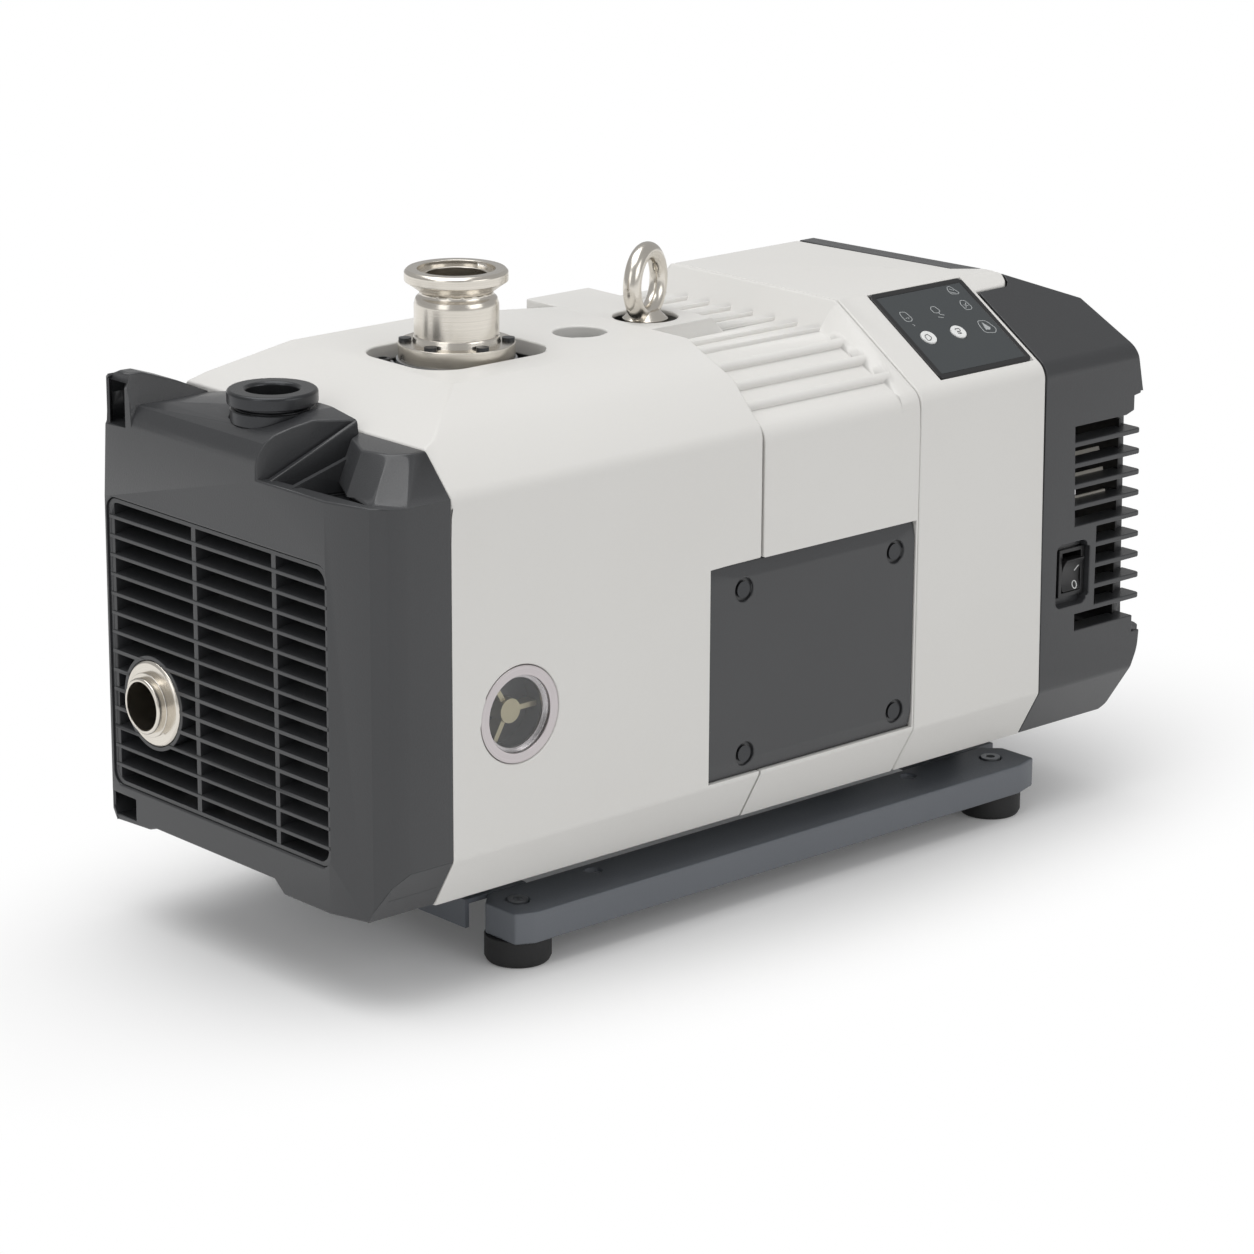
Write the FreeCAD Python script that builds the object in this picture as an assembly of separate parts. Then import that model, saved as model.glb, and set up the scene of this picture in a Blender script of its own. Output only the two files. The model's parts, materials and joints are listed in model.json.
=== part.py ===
"""Dry scroll vacuum pump: a scroll set and its motor on a tray, under moulded covers, on a rail frame.

Frame: +X runs from the front grille to the rear louvres, +Y to the far side, +Z up, feet on z = 0.
Stations along X are measured from the grille; the last step moves the origin to the middle of the footprint.
"""
import FreeCAD
import Part
import math
import os

V = FreeCAD.Vector

# Fits and gaps
RUN = 0.05            # radial clearance of a shaft in its bearing
SEAT = 0.04           # radial clearance of a piece pressed into its seat
SEAM = 0.8            # visible joint between two covers
CLEAR = 0.4           # clearance of pieces that pass without touching

# Covers: section across the pump
BODY_W = 235.0
HALF_W = BODY_W / 2
BELLY_W = BODY_W - 31.0
BELLY_Z = 49.5
SIDE_LOW_Z = 77.5
SIDE_TOP_Z = 268.0
ROOF_Z = 308.0
ROOF_NEAR_Y = -HALF_W + 59.5
ROOF_FAR_Y = HALF_W - 41.5
RIDGE_NEAR = (-HALF_W + 23.5, ROOF_Z - 16.0)
RIDGE_FAR = (HALF_W - 19.5, ROOF_Z - 15.0)
LOW_CREASE_R = 6.0
TOP_CREASE_R = 11.5
SKIN = 3.0

# Covers: lengths along X
FRONT_COVER_L = 49.7
FRONT_COWL_L = 215.0
RIBBED_COWL_L = 118.0
HOOD_L = 101.0
REAR_COVER_L = 86.5
COWL_X = FRONT_COVER_L
RIBBED_X = COWL_X + FRONT_COWL_L
HOOD_X = RIBBED_X + RIBBED_COWL_L
REAR_X = HOOD_X + HOOD_L
END_X = REAR_X + REAR_COVER_L

# Front cowl
COWL_LIP_Z = ROOF_Z - 19.0
COWL_SLOPE_L = 51.0
INLET_X = COWL_X + 102.3
OPENING_L = 86.0
OPENING_W = 70.0
OPENING_R = 20.0
OPENING_RIM = 9.0
PLUG_POS = (RIBBED_X - 34.7, -9.5)
PLUG_HOLE_R = 14.5

# Ribbed cowl
RIB_COUNT = 11
RIB_DROP = 13.0
RIB_R = 3.4
RIB_NEAR = (-HALF_W + 7.5, SIDE_TOP_Z + 3.0)
RIB_BEND_Y = -HALF_W + 65.5
RIM_L = 14.0
PAD_L = 46.0
PAD_NEAR_Y = -26.0
PAD_Z = ROOF_Z - 1.0
EYE_X = RIBBED_X + 21.3
EYE_HOLE_R = 18.0

# Hood and control panel
HOOD_Z = ROOF_Z + 2.5
HOOD_NEAR_Y = -HALF_W + 66.0
HOOD_FAR_Y = HALF_W - 35.5
TAB_L = 29.0
SEAM_LEAN = 3.5
PANEL_X = HOOD_X + 22.3
PANEL_L = 74.0
PANEL_H = 69.0
PANEL_MARGIN = 8.3
PANEL_RECESS = 2.0
BEZEL_T = 2.6
BEZEL_W = 3.6
FACE_T = 1.8
KEY_R = 5.0
KEY_TRAVEL = 0.6
KEY_PROUD = 0.8
KEY_PLACES = ((16.0, 30.6), (39.4, 30.2))

# Rear cover and louvres
LOUVRE_PITCH = 12.4
LOUVRE_COUNT = 9
LOUVRE_TOP_Z = 221.0
LOUVRE_T = 3.0
LOUVRE_DEPTH = 12.5
BAY_TOP_Z = LOUVRE_TOP_Z + 9.2
BAY_LOW_Z = LOUVRE_TOP_Z - (LOUVRE_COUNT - 1) * LOUVRE_PITCH - 12.8
BACK_X = END_X - 2.9
BACK_LEAN = 3.2
CORNER_END_X = END_X - 6.7
RAKE_L = 27.5
RAKE_FALL = 0.41
RAKE_SKEW = 20.0
SLOT_X = REAR_X + 25.3
SLOT_LEAN = 5.0
SLOT_SHORT_X = SLOT_X + 21.0
LOUVRE_L = END_X - SLOT_X - 5.5
POCKET_X = REAR_X + 26.2
ROCKER_X = POCKET_X + 4.1
ROCKER_Z = 143.5
ROCKER_POCKET_L = 25.5
ROCKER_POCKET_H = 37.5
ROCKER_POCKET_DEPTH = 6.0
ROCKER_L = 15.0
ROCKER_H = 22.5
ROCKER_R = 26.0
ROCKER_TILT = 9.0
SOCKET_Y = 60.0
SOCKET_Z = 84.0
SOCKET_W = 27.0
SOCKET_H = 20.0

# Front cover
GRILLE_NEAR_Y = -HALF_W + 37.5
GRILLE_FAR_Y = HALF_W - 11.3
GRILLE_LOW_Z = 75.2
GRILLE_TOP_Z = 233.6
GRILLE_R = 7.0
GRILLE_GAP = 0.3
SLAT_COUNT = 14
SLAT_T = 2.0
SLAT_DEPTH = 15.0
SLAT_DROP = 3.0
BAR_W = 3.6
BAR_PLACES = (GRILLE_FAR_Y - 3.2, GRILLE_FAR_Y - 74.7, GRILLE_FAR_Y - 142.2)
CORNER_X = 22.0
DECK_Z = ROOF_Z - 9.0
DECK_SHOULDER = 24.0
CORNER_DRAFT = 5.3
CORNER_DRAFT_MID = 0.8
LIP_Z = SIDE_TOP_Z
PORT_X = 30.0

# Flanges and ports
FLANGE_R = 27.5
INLET_TOP_Z = 352.0
INLET_BASE_Z = 304.0
INLET_BORE_R = 16.0
INLET_RING_R = 20.6
INLET_RING_DEPTH = 2.8
INLET_BODY_R = 22.5
INLET_NECK_R = 19.5
INLET_BASE_R = 31.0
INLET_BASE_T = 9.0
NIPPLE_Y = 70.2
NIPPLE_Z = 127.4
NIPPLE_DISC_R = 23.3
NIPPLE_R = 15.2
NIPPLE_BORE_R = 13.2
NIPPLE_REACH = 7.0
PORT_R = 23.5
PORT_BORE_R = 13.6
PORT_TOP_Z = 306.5
PORT_DISH_R = 22.0
PORT_DISH_Z = 289.5

# Side window and access panel
WINDOW_X = 95.0
WINDOW_Z = 146.8
WINDOW_R = 25.9
WINDOW_GLASS_R = 20.4
WINDOW_DEPTH = 14.0
ACCESS_X = RIBBED_X - 37.7
ACCESS_L = HOOD_X - 1.7 - ACCESS_X
ACCESS_LOW_Z = 79.5
ACCESS_TOP_Z = 198.0
ACCESS_T = 4.0
ACCESS_H = ACCESS_TOP_Z - ACCESS_LOW_Z
ACCESS_SCREWS = ((25.0, ACCESS_H - 15.0), (ACCESS_L - 15.0, ACCESS_H - 15.0), (ACCESS_L - 13.0, 11.5),
                 (27.0, 11.5))
ACCESS_BOSS_R = 6.6

# Base frame
RAIL_H = 17.3
FOOT_H = 15.3
RAIL_OUT_Y = HALF_W - 8.8
RAIL_W = 39.0
RAIL_FRONT_X = COWL_X + 52.8
RAIL_REAR_X = REAR_X + 14.1
RAIL_REAR_CUT = 16.6
RAIL_CORNER = 10.0
RAIL_T = 2.6
FOOT_R = 17.9
FOOT_X = (RAIL_FRONT_X + 15.8, RAIL_REAR_X - 19.0)
FOOT_Y = RAIL_OUT_Y - 21.1
CROSS_W = 42.0
MOUNT_R = 14.0
MOUNT_Y = 45.0
TRAY_T = 2.5

# Scroll set
SHAFT_Z = 172.0
WRAP_PITCH = 20.0
WRAP_T = 4.0
WRAP_GAP = 0.45
WRAP_H = 34.0
WRAP_ARCS = 12
WRAP_START_R = 10.0
TIP_GAP = 0.4
SEAL_W = 1.6
SEAL_H = 1.4
SCROLL_X = 118.0
SCROLL_PLATE_T = 10.0
ORBIT_PLATE_R = 76.0
ORBIT_PLATE_T = 9.0
CASE_WALL = 9.0
FIN_L = 17.0
FIN_T = 3.0
FIN_PITCH = 12.0
HUB_R = 24.0
HUB_L = 20.0
PIN_R = 10.0
PIN_BEARING_R = 18.0
AUX_RADIUS = 61.0
AUX_ANGLES = (90.0, 210.0, 330.0)
AUX_PIN_R = 4.0
AUX_BEARING_R = 9.0
AUX_BOSS_R = 12.5
AUX_BOSS_L = 11.0
AUX_WEB_T = 4.0
SCREW_CIRCLE_R = 93.0
CASE_FLANGE_R = 98.0

# Shaft, motor and fan
JOURNAL_R = 12.5
MAIN_BEARING_R = 26.0
MAIN_BEARING_L = 14.0
WEIGHT_R = 45.0
WEIGHT_T = 7.0
MOTOR_X = 262.0
MOTOR_L = 168.0
MOTOR_R = 76.0
MOTOR_WALL = 6.0
MOTOR_FIN = 7.0
MOTOR_FINS = 28
CORE_L = 110.0
ROTOR_R = MOTOR_R / 2
AIR_GAP = 0.6
SHIELD_T = 13.0
FAN_X = MOTOR_X + MOTOR_L + 38.0
FAN_L = 24.0
FAN_R = 70.0
FAN_HUB_R = 20.0
FAN_BLADES = 7
FAN_COWL_R = MOTOR_R + 10.0
FAN_COWL_END = FAN_X + 63.0
FAN_COWL_T = 2.5

# Eye bolt of the common M10 size
EYE_RING_R = 17.5
EYE_WIRE_R = 5.0
EYE_COLLAR_R = 12.5
EYE_H = 45.0
EYE_BASE_Z = 303.0
EYE_TURN = 23.5
EYE_THREAD_R = 4.95

# Worked-out values
RAIL_TOP_Z = FOOT_H + RAIL_H
TRAY_Z = BELLY_Z + TRAY_T
ORBIT_R = WRAP_PITCH / 2 - WRAP_T - WRAP_GAP
SCROLL_FACE_X = SCROLL_X + SCROLL_PLATE_T
ORBIT_FACE_X = SCROLL_FACE_X + WRAP_H + TIP_GAP
ORBIT_BACK_X = ORBIT_FACE_X + ORBIT_PLATE_T
CAVITY_R = ORBIT_PLATE_R + ORBIT_R + 1.5
CASE_R = CAVITY_R + CASE_WALL
CASE_X = ORBIT_FACE_X + 5.0
HUB_END_X = ORBIT_BACK_X + HUB_L
AUX_CASE_X = ORBIT_BACK_X + AUX_BOSS_L + AUX_WEB_T + 1.0
CASE_BACK_X = AUX_CASE_X + AUX_BOSS_L
MAIN_BEARING_X = CASE_BACK_X + 4.0
WEIGHT_X = HUB_END_X + 1.5
MOTOR_END_X = MOTOR_X + MOTOR_L
CORE_X = MOTOR_X + (MOTOR_L - CORE_L) / 2
SHAFT_END_X = FAN_X + FAN_L - 4.0
ORIGIN_X = (END_X - NIPPLE_REACH) / 2
SAVED = []


def polygon(points):
    """Face inside a closed run of corner points."""
    return Part.Face(Part.makePolygon([*points, points[0]]))


def across(section, x0, x1):
    """Solid with a (y, z) section between two stations along X."""
    return polygon([V(x0, y, z) for y, z in section]).extrude(V(x1 - x0, 0, 0))


def sideways(profile, y0, y1):
    """Solid with an (x, z) side profile between two places along Y."""
    return polygon([V(x, y0, z) for x, z in profile]).extrude(V(0, y1 - y0, 0))


def upright(plan, z0, z1):
    """Solid with an (x, y) plan between two heights."""
    return polygon([V(x, y, z0) for x, y in plan]).extrude(V(0, 0, z1 - z0))


def block(x0, x1, y0, y1, z0, z1):
    """Box between three pairs of limits."""
    return Part.makeBox(x1 - x0, y1 - y0, z1 - z0, V(x0, y0, z0))


def rod_x(x0, x1, radius, y=0.0, z=SHAFT_Z):
    """Round bar along X, on the shaft's axis unless told otherwise."""
    return Part.makeCylinder(radius, x1 - x0, V(x0, y, z), V(1, 0, 0))


def rod_y(y0, y1, radius, x, z):
    """Round bar along Y."""
    return Part.makeCylinder(radius, y1 - y0, V(x, y0, z), V(0, 1, 0))


def rod_z(z0, z1, radius, x, y):
    """Round bar along Z."""
    return Part.makeCylinder(radius, z1 - z0, V(x, y, z0))


def turned_x(profile, y=0.0, z=SHAFT_Z):
    """Solid turned about an axis along X from (x, radius) points."""
    face = polygon([V(x, y, z + r) for x, r in profile])
    return face.revolve(V(0, y, z), V(1, 0, 0), 360)


def turned_z(profile, x, y):
    """Solid turned about an upright axis from (radius, z) points."""
    face = polygon([V(x + r, y, z) for r, z in profile])
    return face.revolve(V(x, y, 0), V(0, 0, 1), 360)


def joined(shapes):
    """One solid from several that touch or overlap."""
    first, *rest = shapes
    return first.fuse(rest).removeSplitter() if rest else first


def rounded_plan(cx, cy, length, width, radius, z0, z1):
    """Upright prism with a rounded rectangle for its plan."""
    box = block(cx - length / 2, cx + length / 2, cy - width / 2, cy + width / 2, z0, z1)
    return softened(box, V(0, 0, 1), radius)


def softened(shape, direction, radius):
    """Rounds every straight edge that runs along one direction."""
    edges = [e for e in shape.Edges if runs_along(e, direction)]
    return shape.makeFillet(radius, edges)


def creased(shape, direction, places):
    """Rounds the straight edges along one direction that lie at given places, each with its radius.

    A place gives two of the three coordinates, without the one along the direction."""
    drop = [abs(c) for c in direction].index(max(abs(c) for c in direction))
    for a, b, radius in places:
        edges = []
        for edge in shape.Edges:
            point = list(edge.CenterOfMass)
            point.pop(drop)
            if runs_along(edge, direction) and math.dist(point, (a, b)) < 0.01:
                edges.append(edge)
        shape = shape.makeFillet(radius, edges)
    return shape


def runs_along(edge, direction):
    """Whether a straight edge is parallel to a direction."""
    if not isinstance(edge.Curve, Part.Line):
        return False
    return abs(edge.Curve.Direction.dot(direction)) > 0.9999


def inset(points, gap):
    """Closed polygon moved inwards by a gap, corner by corner."""
    turn = sum(a[0] * b[1] - b[0] * a[1] for a, b in zip(points, points[1:] + points[:1]))
    side = 1.0 if turn > 0 else -1.0
    lines = []
    for a, b in zip(points, points[1:] + points[:1]):
        length = math.hypot(b[0] - a[0], b[1] - a[1])
        nx, ny = -(b[1] - a[1]) / length * side, (b[0] - a[0]) / length * side
        lines.append((nx, ny, nx * a[0] + ny * a[1] + gap))
    moved = []
    for point, one, two in zip(points, lines[-1:] + lines[:-1], lines):
        det = one[0] * two[1] - two[0] * one[1]
        if abs(det) < 1e-3:
            moved.append((point[0] + gap * two[0], point[1] + gap * two[1]))
            continue
        x = (one[2] * two[1] - two[2] * one[1]) / det
        y = (one[0] * two[2] - two[0] * one[2]) / det
        moved.append((x, y))
    return moved


def polar(radius, degrees):
    """(y, z) of a point at an angle round the shaft, from +Y towards +Z."""
    angle = math.radians(degrees)
    return radius * math.cos(angle), SHAFT_Z + radius * math.sin(angle)


def save(name, solids):
    """Writes one node, moved to the part's own origin."""
    shape = solids if isinstance(solids, Part.Shape) else Part.makeCompound(solids)
    shape = shape.copy()
    shape.translate(V(-ORIGIN_X, 0, 0))
    shape.exportStep(f"parts/{name}.step")
    SAVED.append(name)


def case(section, x0, x1):
    """A cover's outer solid: its section between two stations, with the long creases rounded."""
    return creased(across(section, x0, x1), V(1, 0, 0), long_creases())


def long_creases():
    """Places of the creases along the case, each with its radius."""
    low = [(side * HALF_W, SIDE_LOW_Z, LOW_CREASE_R) for side in (-1, 1)]
    return low + [(side * HALF_W, SIDE_TOP_Z, TOP_CREASE_R) for side in (-1, 1)]


# Sections of the covers, from the near bottom corner over the roof to the far one

def lower_near():
    return [(-BELLY_W / 2, BELLY_Z), (-HALF_W, SIDE_LOW_Z), (-HALF_W, SIDE_TOP_Z)]


def lower_far():
    return [(HALF_W, SIDE_TOP_Z), (HALF_W, SIDE_LOW_Z), (BELLY_W / 2, BELLY_Z)]


def cowl_section():
    roof = [RIDGE_NEAR, (ROOF_NEAR_Y, ROOF_Z), (ROOF_FAR_Y, ROOF_Z), RIDGE_FAR]
    return lower_near() + roof + lower_far()


def ribbed_section():
    low_roof = [RIB_NEAR, (RIB_BEND_Y, ROOF_Z - RIB_DROP), (HOOD_FAR_Y, ROOF_Z - RIB_DROP)]
    return lower_near() + low_roof + lower_far()


def hood_section():
    slope = (HOOD_NEAR_Y + (-HALF_W - HOOD_NEAR_Y) * 0.5, (HOOD_Z + SIDE_TOP_Z) / 2)
    return lower_near() + [slope, (HOOD_NEAR_Y, HOOD_Z), (HOOD_FAR_Y, HOOD_Z)] + lower_far()


def opened(section, gap):
    """Inside of a cover's section, open at the belly so that the tray closes it."""
    inner = inset(section, gap)
    first, last = inner[0], inner[-1]
    return [(first[0], BELLY_Z - 1.0)] + inner + [(last[0], BELLY_Z - 1.0)]


def front_slope(shift):
    """Half-space above the roof's front slope, sunk by a shift for the cowl's inside."""
    run = COWL_SLOPE_L
    rise = ROOF_Z - COWL_LIP_Z
    drop = shift * math.hypot(run, rise) / run
    high = ROOF_Z + 60.0
    far = COWL_X + 2 * run
    return sideways([(COWL_X - 1.0, COWL_LIP_Z - rise / run - drop), (far, ROOF_Z + rise - drop),
                     (far, high), (COWL_X - 1.0, high)], -BODY_W, BODY_W)


def far_fall(drop):
    """Half-space above the roof's gentle fall at the far rear corner of the front cowl."""
    a = V(RIBBED_X - 75.0, 80.0, ROOF_Z - drop)
    along = V(75.0, -36.0, 0).normalize()
    down = V(20.0, 44.0, -13.0)
    normal = along.cross(down).normalize()
    side = normal.cross(along)
    base = a - along * 150 - side * 150
    sheet = polygon([base, base + along * 400, base + along * 400 + side * 300, base + side * 300])
    return sheet.extrude(normal * (80 if normal.z > 0 else -80))


def front_cowl():
    x0 = COWL_X + SEAM / 2
    x1 = RIBBED_X - SEAM
    outer = case(cowl_section(), x0, x1).cut([front_slope(0.0), far_fall(0.0)])
    inner = across(opened(cowl_section(), SKIN), x0 - 1.0, x1 - SKIN).cut([front_slope(SKIN), far_fall(SKIN)])
    low = across(opened(ribbed_section(), SKIN), x1 - SKIN - 1.0, x1 + 1.0)
    rim_low = ROOF_Z - OPENING_RIM
    rim = rounded_plan(INLET_X, 0, OPENING_L + 2 * SKIN, OPENING_W + 2 * SKIN, OPENING_R + SKIN, rim_low,
                       ROOF_Z - 1)
    hole = rounded_plan(INLET_X, 0, OPENING_L, OPENING_W, OPENING_R, rim_low - 1, ROOF_Z + 1)
    cup = rod_z(ROOF_Z - OPENING_RIM, ROOF_Z - 1, PLUG_HOLE_R + SKIN, *PLUG_POS)
    plug_hole = rod_z(ROOF_Z - OPENING_RIM - 1, ROOF_Z + 1, PLUG_HOLE_R, *PLUG_POS)
    shell = outer.cut(inner).cut(low)
    shell = joined([shell, rim.cut(front_slope(SKIN / 2)), cup]).cut([hole, plug_hole])
    window = rod_y(-BODY_W, -HALF_W + SKIN + 1, WINDOW_R + GRILLE_GAP, WINDOW_X, WINDOW_Z)
    return shell.cut([window, access_pocket()])


def access_pocket():
    """Room for the access panel, cut in the two cowls that it bridges."""
    edge = GRILLE_GAP
    return block(ACCESS_X - edge, ACCESS_X + ACCESS_L + edge, -BODY_W, -HALF_W + ACCESS_T,
                 ACCESS_LOW_Z - edge, ACCESS_TOP_Z + edge)


def rib_line():
    """Places and outward directions of the ribs along the ribbed cowl's section."""
    run = [RIB_NEAR, (RIB_BEND_Y, ROOF_Z - RIB_DROP), (HOOD_FAR_Y, ROOF_Z - RIB_DROP)]
    lengths = [math.dist(a, b) for a, b in zip(run, run[1:])]
    places = []
    for i in range(RIB_COUNT):
        s = (i + 0.7) / RIB_COUNT * sum(lengths)
        k = 0 if s < lengths[0] else 1
        t = (s - sum(lengths[:k])) / lengths[k]
        a, b = run[k], run[k + 1]
        places.append((a[0] + (b[0] - a[0]) * t, a[1] + (b[1] - a[1]) * t))
    return places


def ribbed_cowl():
    x0 = RIBBED_X + SEAM
    x1 = HOOD_X - SEAM / 2
    outer = case(ribbed_section(), x0, x1)
    rim = Part.makeLoft([Part.makePolygon([V(x1 - RIM_L, y, z) for y, z in closed(ribbed_section())]),
                         Part.makePolygon([V(x1 - 2.0, y, z) for y, z in closed(hood_section())])], True,
                         True)
    rim = rim.common(case(hood_section(), x1 - RIM_L, x1 - 2.0))
    edge = case(hood_section(), x1 - 2.0, x1)
    pad = sideways([(x0, ROOF_Z - RIB_DROP - 1), (x0 + PAD_L + RIB_DROP, ROOF_Z - RIB_DROP - 1),
                    (x0 + PAD_L, PAD_Z), (x0, PAD_Z)], PAD_NEAR_Y, ROOF_FAR_Y)
    ribs = [rod_x(x0, x1 - RIM_L / 2, RIB_R, y, z + 0.2) for y, z in rib_line()]
    shell = joined([outer, rim, edge, pad, *ribs])
    inner = across(opened(ribbed_section(), SKIN), x0 - 1, x1 + 1)
    inner_rim = Part.makeLoft(
        [Part.makePolygon([V(x1 - RIM_L + SKIN, y, z) for y, z in closed(inset(ribbed_section(), SKIN))]),
         Part.makePolygon([V(x1 + 1, y, z) for y, z in closed(inset(hood_section(), SKIN))])], True, True)
    pad_inside = block(x0 + SKIN, x0 + PAD_L - SKIN, PAD_NEAR_Y + SKIN, ROOF_FAR_Y - SKIN,
                       ROOF_Z - RIB_DROP - SKIN - 1, PAD_Z - SKIN)
    eye_hole = rod_z(ROOF_Z - 40, ROOF_Z + 5, EYE_HOLE_R, EYE_X, 0)
    return shell.cut([inner, inner_rim, pad_inside, eye_hole, access_pocket()])


def closed(points):
    return [*points, points[0]]


def rear_edge_plan(gap):
    """Plan of the joint between hood and rear cover, with the roof's white tab."""
    low, tab = REAR_X + gap, REAR_X + TAB_L + gap
    near = HOOD_NEAR_Y - gap
    return [(low, -HALF_W - 1), (low, near - 11), (tab - 5, near - 10.5), (tab - 1.5, near - 8),
            (tab, near - 4.5),
            (tab - 0.8, HOOD_NEAR_Y - 1), (tab - 4, HOOD_NEAR_Y + 5), (low + 9, HOOD_NEAR_Y + 18),
            (low, HOOD_FAR_Y - 6), (low, HALF_W + 1)]


def raked(plan):
    """Prism over the case's height whose plan moves forward as it rises, like the seam it follows."""
    wires = []
    for z, shift in ((BELLY_Z - 1, SEAM_LEAN / 2), (HOOD_Z + 1, -SEAM_LEAN / 2)):
        wires.append(Part.makePolygon([V(x + shift, y, z) for x, y in closed(plan)]))
    return Part.makeLoft(wires, True, True)


def slope_frame():
    """Origin, length direction, up-slope direction and normal of the hood's near slope."""
    rise = V(0, HOOD_NEAR_Y + HALF_W, HOOD_Z - SIDE_TOP_Z)
    up = rise / rise.Length
    return V(PANEL_X, -HALF_W, SIDE_TOP_Z) + up * PANEL_MARGIN, up, V(0, -up.z, up.y)


def on_slope(shape):
    """Moves a shape drawn on the XY plane, +Z outwards, onto the hood's near slope."""
    origin, up, normal = slope_frame()
    m = FreeCAD.Matrix(1, 0, 0, origin.x, 0, up.y, normal.y, origin.y, 0, up.z, normal.z, origin.z, 0, 0, 0,
                       1)
    return shape.transformed(m)


def rear_hood():
    x0 = HOOD_X + SEAM / 2
    x1 = REAR_X + TAB_L + 1
    plan = [(x0 - 9, -HALF_W - 1), *rear_edge_plan(0.0), (x0 - 9, HALF_W + 1)]
    outer = case(hood_section(), x0, x1).common(raked(plan)).cut(rake(0.0))
    inner = across(opened(hood_section(), SKIN), x0 - 1, x1 + 1).cut(rake(SKIN + 0.3))
    recess = on_slope(block(-CLEAR, PANEL_L + CLEAR, -CLEAR, PANEL_H + CLEAR, -PANEL_RECESS, 20))
    window = on_slope(block(6, PANEL_L - 6, 6, PANEL_H - 6, -20, 20))
    return outer.cut([inner, recess, window])


def rear_profile():
    """Side profile of the rear cover's end, with its chamfered foot and leaning top."""
    return [(REAR_X, BELLY_Z), (END_X - 15.5, BELLY_Z), (END_X - 11, BELLY_Z + 3), (END_X - 6, SIDE_LOW_Z),
            (END_X - 1, BAY_LOW_Z - 21), (END_X, BAY_LOW_Z - 10), (END_X, BAY_TOP_Z),
            (END_X - 4.4, BAY_TOP_Z + 12.5), (END_X - 9.2, SIDE_TOP_Z - 3), (END_X - 18.2, HOOD_Z - 18),
            (END_X - 18.2, HOOD_Z), (REAR_X, HOOD_Z)]


def rear_creases():
    """Corners of the rear cover's side profile that are rounded, each with its radius."""
    return [(END_X - 9.2, SIDE_TOP_Z - 3, 40.0), (END_X - 4.4, BAY_TOP_Z + 12.5, 0.8),
            (END_X - 11, BELLY_Z + 3, 5.0), (END_X - 6, SIDE_LOW_Z, 20.0), (END_X - 1, BAY_LOW_Z - 21, 25.0)]


def rake(drop):
    """Wedge above the sloping rear of the roof, whose edge runs askew to the far side."""
    x, z = REAR_X + RAKE_L, HOOD_Z - drop
    wedge = polygon([V(x - 3 * drop, -HALF_W, z + 3 * drop * RAKE_FALL),
                     V(x + 90, -HALF_W, z - 90 * RAKE_FALL),
                     V(x + 90, -HALF_W, z + 40), V(x - 3 * drop, -HALF_W, z + 40)])
    return wedge.extrude(V(-RAKE_SKEW, BODY_W, 0))


def louvre_levels():
    return [LOUVRE_TOP_Z - i * LOUVRE_PITCH for i in range(LOUVRE_COUNT)]


def rear_cover():
    front = [*rear_edge_plan(SEAM), (END_X + 9, HALF_W + 1), (END_X + 9, -HALF_W - 1)]
    end = creased(sideways(rear_profile(), -HALF_W, HALF_W), V(0, 1, 0), rear_creases())
    body = case(hood_section(), REAR_X, END_X).common(end)
    body = body.common(raked(front)).cut(rake(0.0))
    inner = across(opened(hood_section(), SKIN), REAR_X - 1, END_X)
    inner = inner.common(sideways(rear_room(), -HALF_W + SKIN, HALF_W - SKIN)).cut(rake(SKIN + 0.3))
    walls = [bay(side, SKIN, HALF_W - 0.5) for side in (-1, 1)]
    shell = joined([body.cut(inner), *walls, *bay_corners(), back_wall()])
    shell = shell.cut([bay(side, 0.0, HALF_W + 1) for side in (-1, 1)] + rear_steps() + back_slots())
    shell = joined([shell, *[louvre(side, i, z) for side in (-1, 1) for i, z in enumerate(louvre_levels())]])
    pocket = rounded_side(POCKET_X, ROCKER_Z, ROCKER_POCKET_L, ROCKER_POCKET_H, 4.0, ROCKER_POCKET_DEPTH)
    wall = rounded_side(POCKET_X, ROCKER_Z, ROCKER_POCKET_L + 2 * SKIN, ROCKER_POCKET_H + 2 * SKIN, 5.0,
                        ROCKER_POCKET_DEPTH + SKIN)
    mouth = rounded_side(ROCKER_X, ROCKER_Z, ROCKER_L + 7, ROCKER_H + 7, 1.5, ROCKER_POCKET_DEPTH + SKIN + 1)
    shell = joined([shell, wall]).cut([pocket, mouth])
    socket = block(END_X - 40, END_X + 1, SOCKET_Y - SOCKET_W / 2 - CLEAR, SOCKET_Y + SOCKET_W / 2 + CLEAR,
                   SOCKET_Z - SOCKET_H / 2 - CLEAR, SOCKET_Z + SOCKET_H / 2 + CLEAR)
    sunk = block(socket_face_x(), END_X + 1, SOCKET_Y - SOCKET_W / 2 - 5, SOCKET_Y + SOCKET_W / 2 + 5,
                 SOCKET_Z - SOCKET_H / 2 - 3.5, SOCKET_Z + SOCKET_H / 2 + 3.5)
    seat = block(socket_face_x() - SKIN, END_X - 1, SOCKET_Y - SOCKET_W / 2 - 8, SOCKET_Y + SOCKET_W / 2 + 8,
                 SOCKET_Z - SOCKET_H / 2 - 6.5, SOCKET_Z + SOCKET_H / 2 + 6.5).common(body)
    return joined([shell, seat]).cut([socket, sunk])


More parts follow.
